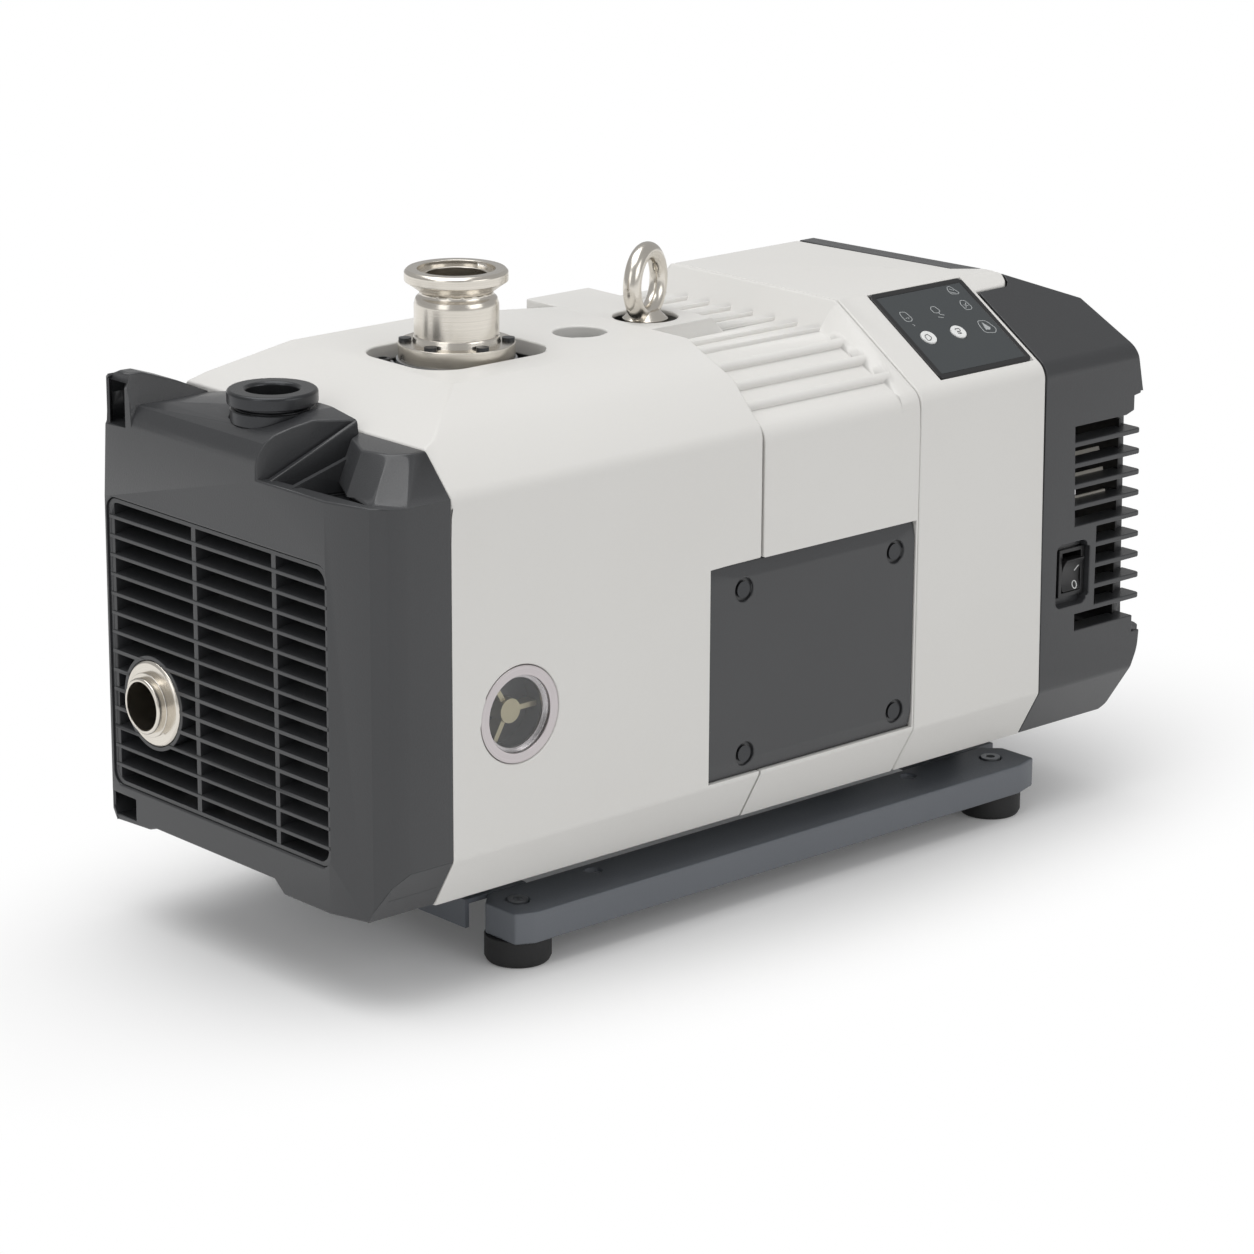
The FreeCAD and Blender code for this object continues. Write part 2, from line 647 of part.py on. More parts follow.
def rear_room():
    """Side profile of the rear cover's inside."""
    wall = BACK_X - SKIN
    return [(REAR_X - 1, BELLY_Z - 1), (END_X - 25, BELLY_Z - 1), (END_X - 11, SIDE_LOW_Z),
            (END_X - SKIN - 1.5, BAY_LOW_Z - 18), (END_X - SKIN - 1.5, BAY_LOW_Z - 13),
            (wall, BAY_LOW_Z - 10),
            (wall - BACK_LEAN, BAY_TOP_Z + 9), (END_X - 15.5, BAY_TOP_Z + 14), (END_X - 15.5, SIDE_TOP_Z - 8),
            (END_X - 22, HOOD_Z - SKIN), (REAR_X - 1, HOOD_Z - SKIN)]


def back_x(z):
    """Station of the leaning rear wall at a height."""
    return BACK_X - BACK_LEAN * (z - BAY_LOW_Z) / (BAY_TOP_Z - BAY_LOW_Z)


def bay(side, grow, out_y):
    """The louvres' room in one side of the rear cover, or that room grown by a wall's thickness."""
    end = END_X + 1 if grow == 0.0 else CORNER_END_X
    profile = [(SLOT_X - grow, BAY_TOP_Z + grow), (end, BAY_TOP_Z + grow), (end, BAY_LOW_Z - grow),
               (SLOT_X + SLOT_LEAN - grow, BAY_LOW_Z - grow)]
    in_y = HALF_W - LOUVRE_DEPTH
    room = sideways(profile, min(side * in_y, side * out_y), max(side * in_y, side * out_y))
    if side > 0:
        return room
    levels = louvre_levels()
    return room.cut(block(0, SLOT_SHORT_X - grow, -BODY_W, 0, levels[8] - LOUVRE_T + grow,
                          levels[4] - LOUVRE_T - grow))


def bay_corners():
    """Solid corners above and below the louvres, at the rear end of each side."""
    corners = []
    for y0, y1 in ((-HALF_W, -HALF_W + LOUVRE_DEPTH + SKIN), (HALF_W - LOUVRE_DEPTH - SKIN, HALF_W)):
        corners.append(block(BACK_X - 12, CORNER_END_X + 1, y0, y1, BAY_TOP_Z - 1, BAY_TOP_Z + 13))
        corners.append(block(BACK_X - 8, CORNER_END_X + 1, y0, y1, BAY_LOW_Z - 13, BAY_LOW_Z))
    return corners


def back_wall():
    """Upright wall behind the fan, with a post at each side that carries the louvres' ends."""
    y = HALF_W - LOUVRE_DEPTH
    z0, z1 = BAY_LOW_Z - 11, BAY_TOP_Z + 12
    parts = []
    for thick, y0, y1 in ((SKIN, -y, y), (2 * SKIN, -y, SKIN - y), (2 * SKIN, y - SKIN, y)):
        profile = [(back_x(z0) - thick, z0), (back_x(z0), z0), (back_x(z1), z1), (back_x(z1) - thick, z1)]
        parts.append(sideways(profile, y0, y1))
    return joined(parts)


def rear_steps():
    """Cuts behind the rear wall: down to the ledge, and back at the two corners."""
    wide = HALF_W + 1
    top, bottom = BAY_TOP_Z + 12.5, BAY_LOW_Z - 5.6
    ledge = sideways([(back_x(top), top), (back_x(bottom), bottom), (END_X + 1, BAY_LOW_Z - 8.2),
                      (END_X + 1, top)], -wide, wide)
    low = [(CORNER_END_X, BAY_LOW_Z + 1), (CORNER_END_X, BAY_LOW_Z - 3.6), (BACK_X + 1, BAY_LOW_Z - 5.9),
           (BACK_X + 1, BAY_LOW_Z + 1)]
    high = [(CORNER_END_X - 11.5, BAY_TOP_Z - 1), (CORNER_END_X - 11.5, BAY_TOP_Z),
            (CORNER_END_X - 4.9, BAY_TOP_Z + 2), (CORNER_END_X - 4.9, BAY_TOP_Z + 10.5),
            (END_X + 1, BAY_TOP_Z + 12.5), (END_X + 1, BAY_TOP_Z - 1)]
    step = [(CORNER_END_X, BAY_LOW_Z - 10), (END_X + 1, BAY_LOW_Z - 10), (END_X + 1, BAY_LOW_Z),
            (CORNER_END_X, BAY_LOW_Z)]
    cuts = [ledge]
    for side in (-1, 1):
        inside = side * (HALF_W - LOUVRE_DEPTH)
        cuts += [sideways(profile, min(inside, side * wide), max(inside, side * wide))
                 for profile in (low, high)]
        face = side * (HALF_W - 1.3)
        cuts.append(sideways(step, min(face, side * wide), max(face, side * wide)))
    return cuts


def louvre(side, index, z):
    """One flat fin along a side, flush with it, from the opening's front end to the rear wall's post."""
    x0 = SLOT_SHORT_X if side < 0 and short_slot(index) else SLOT_X
    x1 = SLOT_X + SLOT_LEAN * (BAY_TOP_Z - z) / (BAY_TOP_Z - BAY_LOW_Z) + LOUVRE_L
    out, root = side * HALF_W, side * (HALF_W - LOUVRE_DEPTH - 0.5)
    plan = [(x0 - 1, out), (x1 - 2.4, out), (x1 - 0.7, out - side * 0.7), (x1, out - side * 2.4), (x1, root),
            (x0 - 1, root)]
    return upright(plan, z - LOUVRE_T, z)


def short_slot(index):
    """Whether the near opening over a fin, counted from the top, is cut short beside the rocker."""
    return 5 <= index <= 8


def back_slots():
    """Openings in the rear wall, level with those of the sides, with two upright bars between them."""
    gap = LOUVRE_PITCH - LOUVRE_T
    edge = HALF_W - LOUVRE_DEPTH - 2 * SKIN
    slots = []
    for z in [*louvre_levels(), BAY_LOW_Z]:
        for y0, y1 in ((-edge, -edge / 3 - 2), (-edge / 3 + 2, edge / 3 - 2), (edge / 3 + 2, edge)):
            slots.append(block(back_x(z) - SKIN - 1, BACK_X + 1, y0, y1, z, min(z + gap, BAY_TOP_Z)))
    return slots


def rounded_side(cx, cz, length, height, radius, depth):
    """Rounded block sunk into the near side wall from its outer face."""
    box = block(cx - length / 2, cx + length / 2, -HALF_W, -HALF_W + depth, cz - height / 2, cz + height / 2)
    return softened(box, V(0, 1, 0), radius)


def cover_plan(gap):
    """Plan of the front cover: flat front, a facet at the near corner and a small far one."""
    plan = [(FRONT_COVER_L, -HALF_W), (CORNER_X, -HALF_W), (13.0, -HALF_W + 4.0), (7.5, -HALF_W + 12.0),
            (0.0, GRILLE_NEAR_Y + 0.5), (0.0, HALF_W - 9.0), (9.0, HALF_W), (FRONT_COVER_L, HALF_W)]
    return inset(plan, gap) if gap else plan


def cover_outline():
    """Front outline of the front cover, with its stepped bottom and the ear at the far top corner."""
    bottom = [(-BELLY_W / 2, BELLY_Z + 1.5), (-HALF_W, SIDE_LOW_Z), (-HALF_W, LIP_Z),
              (RIDGE_NEAR[0] - 4, COWL_LIP_Z)]
    deck = [(-48.0, COWL_LIP_Z), (-45.0, DECK_Z - 4), (-26.0, DECK_Z - 1), (-4.0, DECK_Z - 1),
            (60.0, DECK_Z - 8), (84.0, DECK_Z - 13), (HALF_W - 3, DECK_Z - 15), (HALF_W, LIP_Z)]
    far = [(HALF_W, SIDE_LOW_Z - 3), (BELLY_W / 2 + 3, BELLY_Z + 4.5), (76.0, BELLY_Z + 6),
           (70.0, BELLY_Z + 8),
           (-33.0, BELLY_Z + 8), (-41.0, BELLY_Z + 1.5), (-78.0, BELLY_Z + 1.5)]
    return bottom + deck + far


def corner_notch():
    """Sunk near top corner, behind the lip."""
    return upright([(-1, -24.0), (COWL_X + 1, -45.0), (COWL_X + 1, -BODY_W), (-1, -BODY_W)], LIP_Z,
                   DECK_Z + 20)


def front_cover():
    deck_profile = [(FRONT_COVER_L, BELLY_Z - 1), (0, BELLY_Z - 1), (0, DECK_Z - DECK_SHOULDER),
                    (1.5, DECK_Z - 18.0), (4.5, DECK_Z - 13.0), (9.5, DECK_Z - 9.0), (18.0, DECK_Z - 5.5),
                    (DECK_SHOULDER + 8, DECK_Z - 1.5), (FRONT_COVER_L, DECK_Z)]
    corner = polygon([V(-1, HALF_W - 10, 0), V(29, HALF_W + 20, 0), V(-1, HALF_W + 20, 0)]).OuterWire
    levels = ((SIDE_LOW_Z, 0.0), (GRILLE_TOP_Z, CORNER_DRAFT_MID), (DECK_Z, CORNER_DRAFT))
    lean = Part.makeLoft([corner.translated(V(0, -shift, z)) for z, shift in levels], True, True)
    body = across(cover_outline(), 0, FRONT_COVER_L).common(upright(cover_plan(0), BELLY_Z - 1, DECK_Z + 10))
    body = body.common(sideways(deck_profile, -HALF_W, HALF_W)).cut([corner_notch(), lean])
    sink = upright([(7.0, -33.0), (COWL_X - 3, -49.0), (COWL_X - 3, -HALF_W + 6), (CORNER_X, -HALF_W + 6),
                    (11.0, -HALF_W + 16)], LIP_Z - 7, LIP_Z + 1)
    dish = rod_z(PORT_DISH_Z, DECK_Z + 5, PORT_DISH_R, PORT_X, 0)
    body = joined([body.cut([sink, dish]), corner_block(), cover_ear(), *corner_ribs()])
    inner = upright(cover_plan(SKIN + 0.5), BELLY_Z + 13, LIP_Z - 10).cut(
        block(-1, 8.0, -BODY_W, BODY_W, GRILLE_TOP_Z + 6, DECK_Z))
    deck_room = block(10.0, FRONT_COVER_L + 1, -22.0, 84.0, LIP_Z - 12, DECK_Z - 14)
    open_back = upright([(FRONT_COVER_L - 4, -HALF_W + 4), (FRONT_COVER_L - 4, HALF_W - 4),
                         (FRONT_COVER_L + 1, HALF_W - 4), (FRONT_COVER_L + 1, -HALF_W + 4)], BELLY_Z + 13,
                         LIP_Z - 10)
    window = grille_window(GRILLE_GAP, -1.0, SLAT_DEPTH + 6)
    port = rod_z(DECK_Z - 24, DECK_Z + 6, PORT_R - 3.9 + GRILLE_GAP, PORT_X, 0)
    ear = block(-1, 14.0, 87.0, 108.0, LIP_Z + 6, DECK_Z - 1.5)
    low_pocket = block(-1, 14.0, 88.0, 112.0, BELLY_Z + 8, GRILLE_LOW_Z - 6)
    holes = [rod_x(10, FRONT_COVER_L + 1, 3.2, y, z) for y, z in cover_screw_places()]
    return body.cut([inner, deck_room, open_back, window, port, ear, low_pocket, *holes])


def cover_screw_places():
    return ((94.0, LIP_Z + 17), (97.0, BELLY_Z + 14))


def cover_ear():
    """Raised ear over the far top corner, falling to the rear, with room for a screw in its front."""
    fall = [(0, LIP_Z), (0, DECK_Z - 4), (4.0, DECK_Z + 3.5), (12.0, DECK_Z + 3), (32.0, DECK_Z - 4),
            (FRONT_COVER_L, DECK_Z - 12), (FRONT_COVER_L, LIP_Z)]
    ear = sideways(fall, HALF_W - 35.5, HALF_W - 3)
    crown = across([(HALF_W - 41.5, LIP_Z), (HALF_W - 29.5, DECK_Z + 5.5), (HALF_W - 20.5, DECK_Z + 3.5),
                    (HALF_W - 16, DECK_Z + 1.5), (HALF_W - 11.8, DECK_Z - 2.5), (HALF_W - 8.4, DECK_Z - 10),
                    (HALF_W - 6.9, LIP_Z)], 0, FRONT_COVER_L)
    plan = [(x, y - CORNER_DRAFT) for x, y in cover_plan(0)]
    return ear.common(crown).common(upright(plan, LIP_Z - 1, DECK_Z + 6))


def corner_block():
    """Raised block that fills the rear of the sunk corner, with sloping sides."""
    foot = [(COWL_X, -46.0), (COWL_X, -HALF_W), (CORNER_X, -HALF_W), (11.0, -HALF_W + 14), (15.0, -78.0),
            (30.0, -52.0)]
    head = [(COWL_X, -47.0), (COWL_X, RIDGE_NEAR[0] - 4), (40.0, RIDGE_NEAR[0] - 4),
            (31.0, RIDGE_NEAR[0] + 2),
            (27.0, -76.0), (38.0, -54.0)]
    rings = [Part.makePolygon([V(x, y, z) for x, y in closed(loop)])
             for loop, z in ((foot, LIP_Z - 0.5), (head, COWL_LIP_Z))]
    return Part.makeLoft([rings[0], rings[1]], True, True)


def corner_ribs():
    """Two slanting ribs that fall from the deck to the lip of the sunk corner."""
    ribs = []
    for y0, y1, top in ((-28.0, -46.0, DECK_Z - 3), (-47.0, -57.0, COWL_LIP_Z - 4)):
        face = polygon([V(3.0, y0, LIP_Z - 6), V(3.0, y0, LIP_Z), V(COWL_X - 3, y1, top),
                        V(COWL_X - 3, y1, LIP_Z - 6)])
        ribs.append(face.extrude(V(0, -3.0, 0)))
    return ribs


def grille_window(gap, x0, x1):
    """Prism through the front face, the shape of the grille's frame plus a gap."""
    box = block(x0, x1, GRILLE_NEAR_Y - gap, GRILLE_FAR_Y + gap, GRILLE_LOW_Z - gap, GRILLE_TOP_Z + gap)
    return softened(box, V(1, 0, 0), GRILLE_R)


def front_grille():
    frame = grille_window(0.0, 1.0, SLAT_DEPTH + 3)
    frame = frame.cut(grille_window(-2.2, 0.0, SLAT_DEPTH + 4))
    pitch = (GRILLE_TOP_Z - GRILLE_LOW_Z) / (SLAT_COUNT + 1)
    slats = []
    for i in range(1, SLAT_COUNT + 1):
        z = GRILLE_LOW_Z + i * pitch
        profile = [(0.6, z - SLAT_T / 2), (0.6, z + SLAT_T / 2), (SLAT_DEPTH, z + SLAT_DROP + 0.7),
                   (SLAT_DEPTH, z + SLAT_DROP - 0.7)]
        slats.append(sideways(profile, GRILLE_NEAR_Y + 1, GRILLE_FAR_Y - 1))
    bars = [block(1.2, SLAT_DEPTH, y - BAR_W / 2, y + BAR_W / 2, GRILLE_LOW_Z + 1, GRILLE_TOP_Z - 1)
            for y in BAR_PLACES]
    collar = rod_x(0.8, SLAT_DEPTH + 3, NIPPLE_DISC_R + 2.5, NIPPLE_Y, NIPPLE_Z)
    hole = rod_x(0.0, SLAT_DEPTH + 4, NIPPLE_DISC_R + GRILLE_GAP, NIPPLE_Y, NIPPLE_Z)
    return joined([frame, *slats, *bars, collar]).common(grille_window(0.0, 0.0, SLAT_DEPTH + 4)).cut(hole)


def front_cover_screws():
    return [joined([turned_x([(11.0, 0), (11.0, 3.4), (12.4, 5.4), (14.0, 5.8), (14.0, 0)], y, z),
                    rod_x(14.0, FRONT_COVER_L - 6, 2.9, y, z)]).cut(hexagon(10.5, 13.0, 1.8, y, z))
            for y, z in cover_screw_places()]


def hexagon(x0, x1, radius, y, z):
    """Six-sided socket along X."""
    corners = [(y + radius * math.cos(math.radians(a)), z + radius * math.sin(math.radians(a)))
               for a in range(0, 360, 60)]
    return across(corners, x0, x1)


def inlet_port():
    z0, z1 = INLET_BASE_Z, INLET_TOP_Z
    profile = [(INLET_BORE_R, z0), (INLET_BASE_R, z0), (INLET_BASE_R, z0 + INLET_BASE_T),
               (23.4, z0 + INLET_BASE_T),
               (22.6, z0 + INLET_BASE_T + 4), (INLET_BODY_R, z0 + 13), (INLET_BODY_R, z1 - 19),
               (21.6, z1 - 15.5),
               (INLET_NECK_R, z1 - 13.5), (INLET_NECK_R, z1 - 12.0), (FLANGE_R - 1.2, z1 - 7.0),
               (FLANGE_R, z1 - 6.4), (FLANGE_R, z1 - 1.6), (FLANGE_R - 1.6, z1), (INLET_RING_R, z1),
               (INLET_RING_R, z1 - INLET_RING_DEPTH), (INLET_BORE_R, z1 - INLET_RING_DEPTH)]
    body = turned_z(profile, INLET_X, 0)
    return body.cut([rod_z(z0 - 1, z0 + INLET_BASE_T + 1, 2.7, x, y) for x, y in inlet_screw_places()])


def inlet_screw_places():
    radius = (INLET_BASE_R + 23.4) / 2
    return [(INLET_X + radius * math.cos(math.radians(a)), radius * math.sin(math.radians(a)))
            for a in range(20, 380, 60)]


def inlet_screws():
    z = INLET_BASE_Z + INLET_BASE_T
    return [joined([rod_z(z, z + 1.8, 3.4, x, y), rod_z(INLET_BASE_Z - 7, z, 2.4, x, y)])
            for x, y in inlet_screw_places()]


def exhaust_nipple():
    disc = turned_x([(3.0, NIPPLE_BORE_R), (3.0, NIPPLE_DISC_R), (0.8, NIPPLE_DISC_R),
                     (-0.4, NIPPLE_DISC_R - 1.2),
                     (-0.4, NIPPLE_R + 2.2), (-3.4, NIPPLE_R + 2.2), (-3.4, NIPPLE_R),
                     (-NIPPLE_REACH + 0.8, NIPPLE_R),
                     (-NIPPLE_REACH, NIPPLE_R - 0.8), (-NIPPLE_REACH, NIPPLE_BORE_R)], NIPPLE_Y, NIPPLE_Z)
    tail = rod_x(3.0, SILENCER_X0, NIPPLE_R, NIPPLE_Y, NIPPLE_Z)
    return joined([disc, tail.cut(rod_x(2.0, SILENCER_X0 + 1, NIPPLE_BORE_R, NIPPLE_Y, NIPPLE_Z))])


SILENCER_X0 = 58.0
SILENCER_X1 = SCROLL_X - FIN_L - 3.0
SILENCER_R = 24.0


def obround(x0, x1, radius):
    """Round-ended bar section between the scroll's centre and the nipple's axis."""
    dy, dz = NIPPLE_Y, NIPPLE_Z - SHAFT_Z
    length = math.hypot(dy, dz)
    ny, nz = -dz / length * radius, dy / length * radius
    bar = across([(ny, SHAFT_Z + nz), (dy + ny, NIPPLE_Z + nz), (dy - ny, NIPPLE_Z - nz),
                  (-ny, SHAFT_Z - nz)], x0, x1)
    return joined([bar, rod_x(x0, x1, radius), rod_x(x0, x1, radius, NIPPLE_Y, NIPPLE_Z)])


def exhaust_silencer():
    shell = obround(SILENCER_X0, SILENCER_X1, SILENCER_R).cut(
        obround(SILENCER_X0 + SKIN, SILENCER_X1 - SKIN, SILENCER_R - SKIN))
    inlet = rod_x(SILENCER_X1 - 1, SCROLL_X - SEAT, 11.0)
    return joined([shell, inlet]).cut([rod_x(SILENCER_X1 - SKIN - 1, SCROLL_X + 1, 6.0),
                                       rod_x(SILENCER_X0 - 1, SILENCER_X0 + SKIN + 1, NIPPLE_BORE_R,
                                             NIPPLE_Y, NIPPLE_Z)])


def gas_ballast_port():
    z0 = PORT_DISH_Z - 8.0
    top = PORT_TOP_Z
    low, neck = PORT_R - 3.9, PORT_R - 5.2
    profile = [(PORT_BORE_R, z0), (low, z0), (low, top - 9.4), (neck, top - 9.0), (neck, top - 7.6),
               (PORT_R, top - 7.2), (PORT_R, top - 1.2), (PORT_R - 1.2, top),
               (PORT_BORE_R + 1.4, top), (PORT_BORE_R, top - 1.4)]
    return turned_z(profile, PORT_X, 0)


def service_plug():
    """Capped pressure-relief screw on the crankcase, reached through the roof's round hole."""
    z1 = ROOF_Z - 6.0
    x, y = PLUG_POS
    cap = turned_z([(0, z1 - 12), (8.0, z1 - 12), (8.0, z1 - 3), (5.5, z1), (0, z1)], x, y)
    return cap.cut(block(x - 6, x + 6, y - 1, y + 1, z1 - 2, z1 + 1))


def spiral(x0, x1, width, turn, centre_z):
    """Spiral wall of quarter arcs, whose centres step round a square, between two stations."""
    step = WRAP_PITCH / 4
    y, z, radius = -step / 2, step / 2, WRAP_START_R
    inner, outer = [], []
    for i in range(WRAP_ARCS):
        angles = [math.pi / 2 * (i + part) for part in (0.0, 0.5, 1.0)]
        for arcs, r in ((inner, radius - width / 2), (outer, radius + width / 2)):
            arcs.append(Part.Arc(*[V(0, y + r * math.cos(a), z + r * math.sin(a)) for a in angles]).toShape())
        y -= step * math.cos(angles[2])
        z -= step * math.sin(angles[2])
        radius += step
    ends = [Part.makeLine(inner[k].Vertexes[k].Point, outer[k].Vertexes[k].Point) for k in (0, -1)]
    wire = Part.Wire(Part.__sortEdges__([*inner, *outer, *ends]))
    wall = Part.Face(wire).extrude(V(x1 - x0, 0, 0))
    wall.rotate(V(0, 0, 0), V(1, 0, 0), turn)
    wall.translate(V(x0, 0, centre_z))
    return wall


def scroll_seal(turn, centre_z, tip_x, back):
    """Strip in the tip of a wrap, and the groove that holds it."""
    if back:
        strip, groove = (tip_x - SEAL_H, tip_x), (tip_x - SEAL_H - SEAT, tip_x + 1)
    else:
        strip, groove = (tip_x, tip_x + SEAL_H), (tip_x - 1, tip_x + SEAL_H + SEAT)
    return spiral(*strip, SEAL_W, turn, centre_z), spiral(*groove, SEAL_W + 2 * SEAT, turn, centre_z)


def fixed_scroll():
    tip = SCROLL_FACE_X + WRAP_H
    plate = rod_x(SCROLL_X, SCROLL_FACE_X, CASE_R)
    rim = rod_x(SCROLL_FACE_X, CASE_X, CASE_R).cut(rod_x(SCROLL_FACE_X, CASE_X + 1, CAVITY_R))
    flange = rod_x(CASE_X - 8.0, CASE_X, CASE_FLANGE_R).cut(rod_x(CASE_X - 9.0, CASE_X + 1, CASE_R - 1))
    wrap = spiral(SCROLL_FACE_X - 1, tip, WRAP_T, 0.0, SHAFT_Z)
    fins = []
    rows = int(2 * (CASE_R - 6) / FIN_PITCH)
    for i in range(rows):
        y = (i - (rows - 1) / 2) * FIN_PITCH
        fin = block(SCROLL_X - FIN_L, SCROLL_X + 1, y - FIN_T / 2, y + FIN_T / 2, SHAFT_Z - CASE_R,
                    SHAFT_Z + CASE_R)
        fins.append(fin.common(rod_x(SCROLL_X - FIN_L, SCROLL_X + 1, CASE_R - 3)))
    boss = turned_z([(0, SHAFT_Z + CAVITY_R - 8), (15.0, SHAFT_Z + CAVITY_R - 8), (15.0, INLET_BASE_Z - 26),
                     (INLET_BASE_R + 1, INLET_BASE_Z - 12), (INLET_BASE_R + 1, INLET_BASE_Z),
                     (0, INLET_BASE_Z)],
                    INLET_X, 0)
    body = joined([plate, rim, flange, wrap, boss.cut(rod_x(SCROLL_FACE_X, CASE_X + 40, CAVITY_R)), *fins])
    seal_room = scroll_seal(0.0, SHAFT_Z, tip, True)[1]
    throat = rod_z(SHAFT_Z + CAVITY_R - 12, INLET_BASE_Z + 1, 11.0, INLET_X, 0)
    middle = rod_x(SCROLL_X - FIN_L - 1, SCROLL_X, 12.0)
    outlet = rod_x(SCROLL_X - 1, SCROLL_FACE_X + 1, 5.0)
    places = [polar(SCREW_CIRCLE_R, a) for a in scroll_screw_angles()]
    holes = [rod_x(CASE_X - 9, CASE_X + 1, 3.3, *place) for place in places]
    heads = [rod_x(CASE_X - 16, CASE_X - 8, 5.0, *place) for place in places]
    taps = [rod_z(INLET_BASE_Z - 8, INLET_BASE_Z + 1, 2.4 + SEAT, x, y) for x, y in inlet_screw_places()]
    return body.cut([seal_room, throat, middle, outlet, *holes, *heads, *taps])


def scroll_screw_angles():
    return range(15, 375, 45)


def fixed_scroll_screws():
    screws = []
    for angle in scroll_screw_angles():
        y, z = polar(SCREW_CIRCLE_R, angle)
        screws.append(joined([rod_x(CASE_X - 14.0, CASE_X - 8.0, 4.4, y, z),
                              rod_x(CASE_X - 8.0, CASE_X + 7, 2.9, y, z)]))
    return screws


def orbiting_scroll():
    z = SHAFT_Z + ORBIT_R
    tip = SCROLL_FACE_X + TIP_GAP
    plate = rod_x(ORBIT_FACE_X, ORBIT_BACK_X, ORBIT_PLATE_R, 0, z)
    wrap = spiral(tip, ORBIT_FACE_X + 1, WRAP_T, 180.0, z)
    hub = rod_x(ORBIT_BACK_X - 1, HUB_END_X, HUB_R, 0, z)
    bosses = [rod_x(ORBIT_BACK_X - 1, ORBIT_BACK_X + AUX_BOSS_L, AUX_BOSS_R, y, pz + ORBIT_R)
              for y, pz in (polar(AUX_RADIUS, a) for a in AUX_ANGLES)]
    seats = [rod_x(ORBIT_BACK_X + 1, ORBIT_BACK_X + AUX_BOSS_L + 1, AUX_BEARING_R + SEAT, y, pz + ORBIT_R)
             for y, pz in (polar(AUX_RADIUS, a) for a in AUX_ANGLES)]
    room = rod_x(ORBIT_BACK_X + 2, HUB_END_X + 1, PIN_BEARING_R + SEAT, 0, z)
    seal_room = scroll_seal(180.0, z, tip, False)[1]
    return joined([plate, wrap, hub, *bosses]).cut([*seats, room, seal_room])


def orbit_bearings():
    """Needle cage for the crank pin, and the ball bearings for the auxiliary cranks."""
    z = SHAFT_Z + ORBIT_R
    pin = rod_x(ORBIT_BACK_X + 3, HUB_END_X - 1, PIN_BEARING_R, 0, z)
    return pin.cut(rod_x(ORBIT_BACK_X, HUB_END_X, PIN_R + RUN, 0, z))


def aux_ring(x0, x1, y, z):
    return rod_x(x0, x1, AUX_BEARING_R, y, z).cut(rod_x(x0 - 1, x1 + 1, AUX_PIN_R + RUN, y, z))


def aux_orbit_bearings():
    return [aux_ring(ORBIT_BACK_X + 2, ORBIT_BACK_X + AUX_BOSS_L - 1, y, z + ORBIT_R)
            for y, z in (polar(AUX_RADIUS, a) for a in AUX_ANGLES)]


def aux_case_bearings():
    return [aux_ring(AUX_CASE_X + 1, AUX_CASE_X + AUX_BOSS_L - 2, y, z)
            for y, z in (polar(AUX_RADIUS, a) for a in AUX_ANGLES)]


def auxiliary_crank(angle):
    y, z = polar(AUX_RADIUS, angle)
    web_x = ORBIT_BACK_X + AUX_BOSS_L + 0.5
    front = rod_x(ORBIT_BACK_X + 2.5, web_x + 1, AUX_PIN_R, y, z + ORBIT_R)
    web = joined([rod_x(web_x, web_x + AUX_WEB_T, AUX_PIN_R + 2, y, z + ORBIT_R),
                  rod_x(web_x, web_x + AUX_WEB_T, AUX_PIN_R + 4, y, z)])
    rear = rod_x(web_x + AUX_WEB_T - 1, AUX_CASE_X + AUX_BOSS_L - 2.5, AUX_PIN_R, y, z)
    return joined([front, web, rear])


def crankcase():
    flange = rod_x(CASE_X, CASE_X + 8, CASE_FLANGE_R)
    drum = rod_x(CASE_X, CASE_BACK_X + 6, CASE_R)
    room = rod_x(CASE_X - 1, AUX_CASE_X + 7, CAVITY_R)
    bosses = [rod_x(AUX_CASE_X, CASE_BACK_X + 3, AUX_BOSS_R, *polar(AUX_RADIUS, a)) for a in AUX_ANGLES]
    bell = turned_x([(CASE_BACK_X + 3, 0), (CASE_BACK_X + 3, 60.0), (CASE_BACK_X + 20, MOTOR_R - 12),
                     (MOTOR_X - 8, MOTOR_R - 8), (MOTOR_X - 8, MOTOR_R), (MOTOR_X, MOTOR_R), (MOTOR_X, 0)])
    bell_room = turned_x([(CASE_BACK_X + 26, 0), (CASE_BACK_X + 26, 52.0), (MOTOR_X + 1, 60.0),
                          (MOTOR_X + 1, 0)])
    legs = [block(CASE_X + 4, CASE_X + 34, y - 12, y + 12, TRAY_Z, SHAFT_Z - 60) for y in (-52.0, 52.0)]
    pillar = rod_z(SHAFT_Z + 50, ROOF_Z - 18.0, 10.0, *PLUG_POS)
    body = joined([flange, drum.cut(room), *bosses, bell.cut(bell_room), *[leg.cut(room) for leg in legs],
                   pillar])
    seats = [rod_x(AUX_CASE_X - 1, AUX_CASE_X + AUX_BOSS_L - 1.5, AUX_BEARING_R + SEAT, *polar(AUX_RADIUS, a))
             for a in AUX_ANGLES]
    bearing = rod_x(MAIN_BEARING_X, MAIN_BEARING_X + MAIN_BEARING_L + 20, MAIN_BEARING_R + SEAT)
    shaft = rod_x(AUX_CASE_X, MOTOR_X + 1, WEIGHT_R * 0.4)
    weight = rod_x(AUX_CASE_X - 1, WEIGHT_X + WEIGHT_T + 2, WEIGHT_R + 2)
    taps = [rod_x(CASE_X - 1, CASE_X + 9, 2.9 + SEAT, *polar(SCREW_CIRCLE_R, a))
            for a in scroll_screw_angles()]
    cavity = rod_x(CASE_X - 1, CASE_X + 9, CAVITY_R)
    return body.cut([cavity, *seats, bearing, shaft, weight, *taps])


